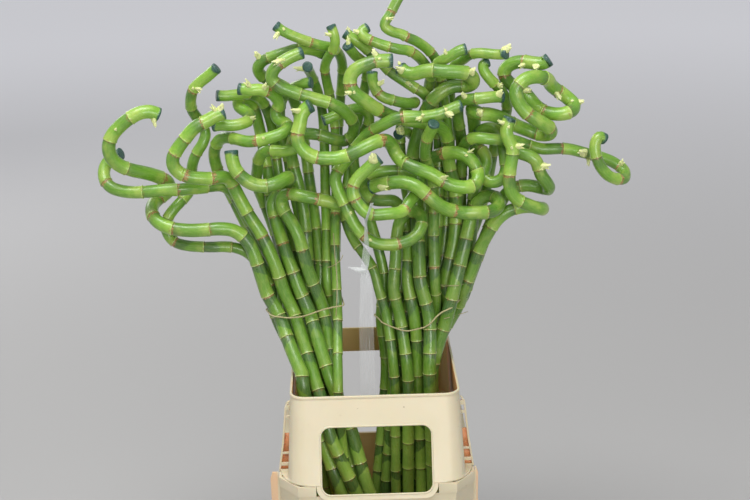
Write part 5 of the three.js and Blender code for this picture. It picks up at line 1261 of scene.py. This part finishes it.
def tie_grid(bundle, height, sway):
    """A cord on the outline round the canes: towards each angle it takes the cane that reaches
    furthest that way and stands a little off its skin. Its height follows the front's sway."""
    middle, radius = [], []
    for cane in bundle:
        line = cane["line"]
        k = np.argmax(line[:, 2] > height)
        a, b = line[k - 1], line[k]
        middle.append(a + (b - a) * (height - a[2]) / (b[2] - a[2]))
        radius.append(cane["d"] / 2 / max(0.7, (b - a)[2] / np.linalg.norm(b - a)) + CORD_OFF)
    middle, radius = np.array(middle)[:, :2], np.array(radius)
    theta = np.linspace(0, 2 * np.pi, 400, endpoint=False)
    n = np.stack([np.cos(theta), np.sin(theta)], 1)
    best = (n @ middle.T + radius).argmax(1)
    flat = middle[best] + radius[best][:, None] * n
    loop = np.vstack([flat, flat[:1]])
    run = lengths_along(loop)
    even = np.linspace(0, run[-1], CORD_POINTS, endpoint=False)
    flat = np.stack([np.interp(even, run, loop[:, k]) for k in range(2)], 1)
    front = flat[:, 1] < middle[:, 1].mean()
    behind = np.interp(flat[:, 0], *zip(sway[0], sway[-1]))
    lift = np.where(front, np.interp(flat[:, 0], *zip(*sway)), behind)
    lift = np.convolve(np.tile(lift, 3), np.ones(9) / 9, "same")[CORD_POINTS:2 * CORD_POINTS]
    path = np.column_stack([flat, height + lift])
    ahead = np.roll(path, -1, axis=0) - np.roll(path, 1, axis=0)
    ahead /= np.linalg.norm(ahead, axis=1)[:, None]
    out = np.cross(ahead, (0, 0, 1.0))
    out /= np.linalg.norm(out, axis=1)[:, None]
    u = np.arange(10) / 10 * 2 * np.pi
    out_by, over_by = CORD_RADIUS * np.cos(u)[None], CORD_RADIUS * np.sin(u)[None]
    return swept(path, out, np.cross(out, ahead), out_by, over_by)


for node, bundle, height, sway in (
        ("tie_left", LEFT_BUNDLE, 464, [(-150, 2), (-120, -2), (-100, 0), (-70, 10), (-50, 14)]),
        ("tie_right", RIGHT_BUNDLE, 452, [(8, -2), (30, -12), (50, -18), (80, -10), (100, 10), (130, 20)])):
    tie = ring_mesh(node + "_cord", tie_grid(bundle, height, sway), cord.material)
    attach(tie, "root")
    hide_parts(node)

# Thin strands of the same tie, drawn across the front canes. Each is given by the places that
# it passes, as x and height, and lies on whatever cane is foremost there.
THREADS = [
    [(-82, 533), (-72, 529), (-62, 526), (-52, 530), (-44, 536), (-40, 544)],
    [(-53, 578), (-52, 545), (-50, 510), (-51, 478), (-53, 450)],
    [(104, 494), (110, 493), (118, 492), (128, 492), (138, 494)],
    [(108, 441), (116, 443), (124, 446), (134, 448), (144, 451)],
]
every_point = np.vstack([cane["line"] for cane in canes])
every_half = np.repeat([cane["d"] / 2 for cane in canes], [len(cane["line"]) for cane in canes])
for number, places in enumerate(THREADS):
    middle = []
    for x, z in places:
        seen_x, seen_z = on_sight(x, z, every_point[:, 1])
        off = np.hypot(seen_x - every_point[:, 0], seen_z - every_point[:, 2])
        front = every_point[:, 1] - np.sqrt(np.maximum(every_half**2 - off**2, 0))
        middle.append(np.where(off < every_half, front, np.inf).min())
    middle = np.array(middle)
    known = np.isfinite(middle)
    middle = np.interp(np.arange(len(middle)), np.nonzero(known)[0], middle[known])
    path = smooth_path([seen((x, z, y - 1.0)) for (x, z), y in zip(places, middle)], 1.5)
    side, across = tube_frames(path)
    u = np.arange(8) / 8 * 2 * np.pi
    grid = swept(path, side, across, THREAD_RADIUS * np.cos(u)[None], THREAD_RADIUS * np.sin(u)[None])
    thread = round_mesh("tie_thread_%d" % number, grid, cord.material, np.linspace(0, 0.2, len(path)))

# ---- film strip ------------------------------------------------------------------------------
# A strip of clear film off the roll. Its top is twisted thin and looped round the low ring in the
# middle, it is knotted half way, and below the knot it hangs open and creased into the collar.
film = Paint("clear_film")
crease_at = film.vector("MULTIPLY", film.unrolled(), (26.0, 7.0, 1.0))
crease = film.noise(crease_at, 1.0, 4.0, 0.6)
bunched = film.attribute("bunched")
veil = film.scaled(bunched, 0.62, film.spread(crease, 0.42, 0.78, 0.05, 0.2))
film.shade(Base_Color=srgb(240, 243, 242), Roughness=0.2, Alpha=veil,
           Normal=film.bump(crease, 0.001, 0.7))
# Stations down the strip: x and height on the middle plane, how far it stands in front of the
# ring's face, its width, and how bunched it is.
FILM = [(5, 622, 1, 4.5, 0.6), (0, 608, 2, 4.0, 0.6), (-5, 594, 2, 3.6, 0.6), (-5, 580, 3, 4.2, 0.5),
        (-5, 562, 3, 7.0, 0.34), (-6, 541, 3, 11.5, 0.24), (-8, 529, 3, 12.0, 0.35), (-9, 520, 4, 9.0, 0.6),
        (-8, 512, 4, 13.0, 0.3), (-7, 496, 4, 17.0, 0.12), (-7, 470, 4, 20.0, 0.05),
        (-8, 430, 4, 21.0, 0.03), (-8, 395, 3, 21.5, 0.03), (-8, 322, 2, 22.0, 0.03)]
FILM_WIDTH, FILM_GAUGE = 22.0, 0.12
FILM_FOLDS = 5.0
ring_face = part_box("film_strip")[1][1] / MM


def film_sheet(name, stations):
    """A sheet along its stations: across it the surface waves to and fro, the more the narrower
    it is gathered, so that its real width stays the same."""
    stations = np.array(stations, float)
    w = np.linspace(0, len(stations) - 1, 150)
    k = np.arange(len(stations))
    x, z, out, wide, bunch = (np.interp(w, k, stations[:, c]) for c in range(5))
    smooth = np.ones(5) / 5
    x, z, wide = (np.concatenate([a[:2], np.convolve(a, smooth, "valid"), a[-2:]]) for a in (x, z, wide))
    a = np.linspace(-0.5, 0.5, 29)
    y = ring_face - out
    middle_x, middle_z = on_sight(x, z, y)
    fold = np.clip((FILM_WIDTH - wide) / FILM_WIDTH, 0.02, 1.0)
    wave = 1.6 * fold[:, None] * np.sin(a[None] * 2 * np.pi * FILM_FOLDS + 0.05 * z[:, None])
    wave += 0.5 * np.sin(9 * a[None] + 0.03 * z[:, None])
    grid = np.stack([middle_x[:, None] + a * wide[:, None], y[:, None] + wave - 1.2,
                     np.repeat(middle_z[:, None], len(a), 1)], -1)
    mesh = grid_mesh(name, grid, False)
    mesh.attributes.new("bunched", "FLOAT", "POINT").data.foreach_set(
        "value", np.repeat(bunch, len(a)).astype(np.float32))
    mesh.shade_smooth()
    mesh.materials.append(film.material)
    piece = placed(name, mesh)
    thick = piece.modifiers.new("film_gauge", "SOLIDIFY")
    thick.thickness, thick.offset = FILM_GAUGE * MM, 0
    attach(piece, "root")
    return piece


strip = film_sheet("film_strip_sheet", FILM)
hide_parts("film_strip")
film_knot = blade_grid(np.array(seen((-7, 519, ring_face - 6))), np.array([-1.0, 0, 0.12]), 26.0, 3.4,
                       np.array([0, 0, 0.12]), 0.3)
length = np.linspace(0, 1, len(film_knot))
knot = round_mesh("film_strip_knot", film_knot, film.material, length,
                  {"bunched": np.interp(length, [0, 0.5, 1], [0.6, 0.45, 0.15])})

# ---- floor -----------------------------------------------------------------------------------
# The plain pale grey studio floor, matt paper that lies flat and runs on far behind the plant.
# Its colour is painted paler the further off it is: painted light, for where it catches more light.
FLOOR_REACH = 30.0
paper = Paint("studio_paper")
spot = paper.place()
away = paper.spread(paper.vector("LENGTH", spot), 0.8, 7.0)
paper.shade(Base_Color=paper.over(away, srgb(177, 176, 175), srgb(243, 243, 248)), Roughness=0.9,
            Normal=paper.bump(paper.noise(spot, 400.0), 0.0002, 0.1))
floor_mesh = bpy.data.meshes.new("studio_floor")
floor_mesh.from_pydata([(FLOOR_REACH * x, FLOOR_REACH * y, 0)
                        for x, y in ((-1, -1), (1, -1), (1, 1), (-1, 1))], [], [(0, 1, 2, 3)])
repaint(floor_mesh, paper)
placed("studio_floor", floor_mesh)

# ---- light -----------------------------------------------------------------------------------
# Soft light from large panels above, in front and behind, with a broad sky light and an even
# pale surround. The panels themselves don't show.
world = bpy.data.worlds.new("pale_room")
world.use_nodes = True
surround = world.node_tree.nodes["Background"].inputs
surround["Color"].default_value = (0.97, 0.98, 1.0, 1)
surround["Strength"].default_value = 0.36
bpy.context.scene.world = world


def panel(name, place, target, size, power, spread=180):
    """A rectangular light at a place that faces its target. The power is in watts, and the
    spread is how wide its beam opens, in degrees."""
    data = bpy.data.lights.new(name, "AREA")
    data.shape = "RECTANGLE"
    data.size, data.size_y = size
    data.energy = power
    data.spread = math.radians(spread)
    back = np.array(place, float) - np.array(target, float)
    back /= np.linalg.norm(back)
    right = np.cross((0, 0, 1.0), back)
    right /= np.linalg.norm(right)
    up = np.cross(back, right)
    light = placed(name, data)
    light.matrix_world = Matrix([[right[k], up[k], back[k], place[k]] for k in range(3)] + [[0, 0, 0, 1]])
    light.visible_camera = False


panel("overhead", (-0.5, -0.9, 3.0), (0, 0, 0.6), (1.5, 1.1), 40)
panel("front_fill", (0.7, -3.2, 1.1), (0, 0, 0.45), (1.6, 1.2), 16, 120)
panel("back_fill", (-1.6, 2.6, 2.0), (0, 0, 0.5), (1.6, 1.2), 18)

# a broad soft sky light reaches the far floor as well
sky = bpy.data.lights.new("sky_light", "SUN")
sky.energy = 1.0
sky.angle = math.radians(70)
placed("sky_light", sky).rotation_euler = (math.radians(22), math.radians(-12), 0)

# ---- camera ----------------------------------------------------------------------------------
# The picture is taken from a little above, about two and a half metres in front, with a long
# lens and the camera turned very slightly askew.
yaw, pitch, roll = math.radians(0.86), math.radians(14.7), math.radians(-1.42)
FOCAL_PIXELS, PICTURE_WIDTH = 1700.5, 750
FILM_SIZE = 36
ahead = np.array([math.sin(yaw) * math.cos(pitch), math.cos(yaw) * math.cos(pitch), -math.sin(pitch)])
right = np.array([math.cos(yaw), -math.sin(yaw), 0])
up = np.cross(right, ahead)
turned = math.cos(roll) * right + math.sin(roll) * up
upward = -math.sin(roll) * right + math.cos(roll) * up
lens = bpy.data.cameras.new("picture_camera")
lens.sensor_width = FILM_SIZE
lens.lens = FOCAL_PIXELS * FILM_SIZE / PICTURE_WIDTH
lens.clip_start, lens.clip_end = 0.05, 50
camera = placed("picture_camera", lens)
camera.matrix_world = Matrix([[turned[k], upward[k], -ahead[k], EYE[k] * MM] for k in range(3)]
                             + [[0, 0, 0, 1]])
bpy.context.scene.camera = camera
bpy.context.scene.view_settings.view_transform = "Standard"
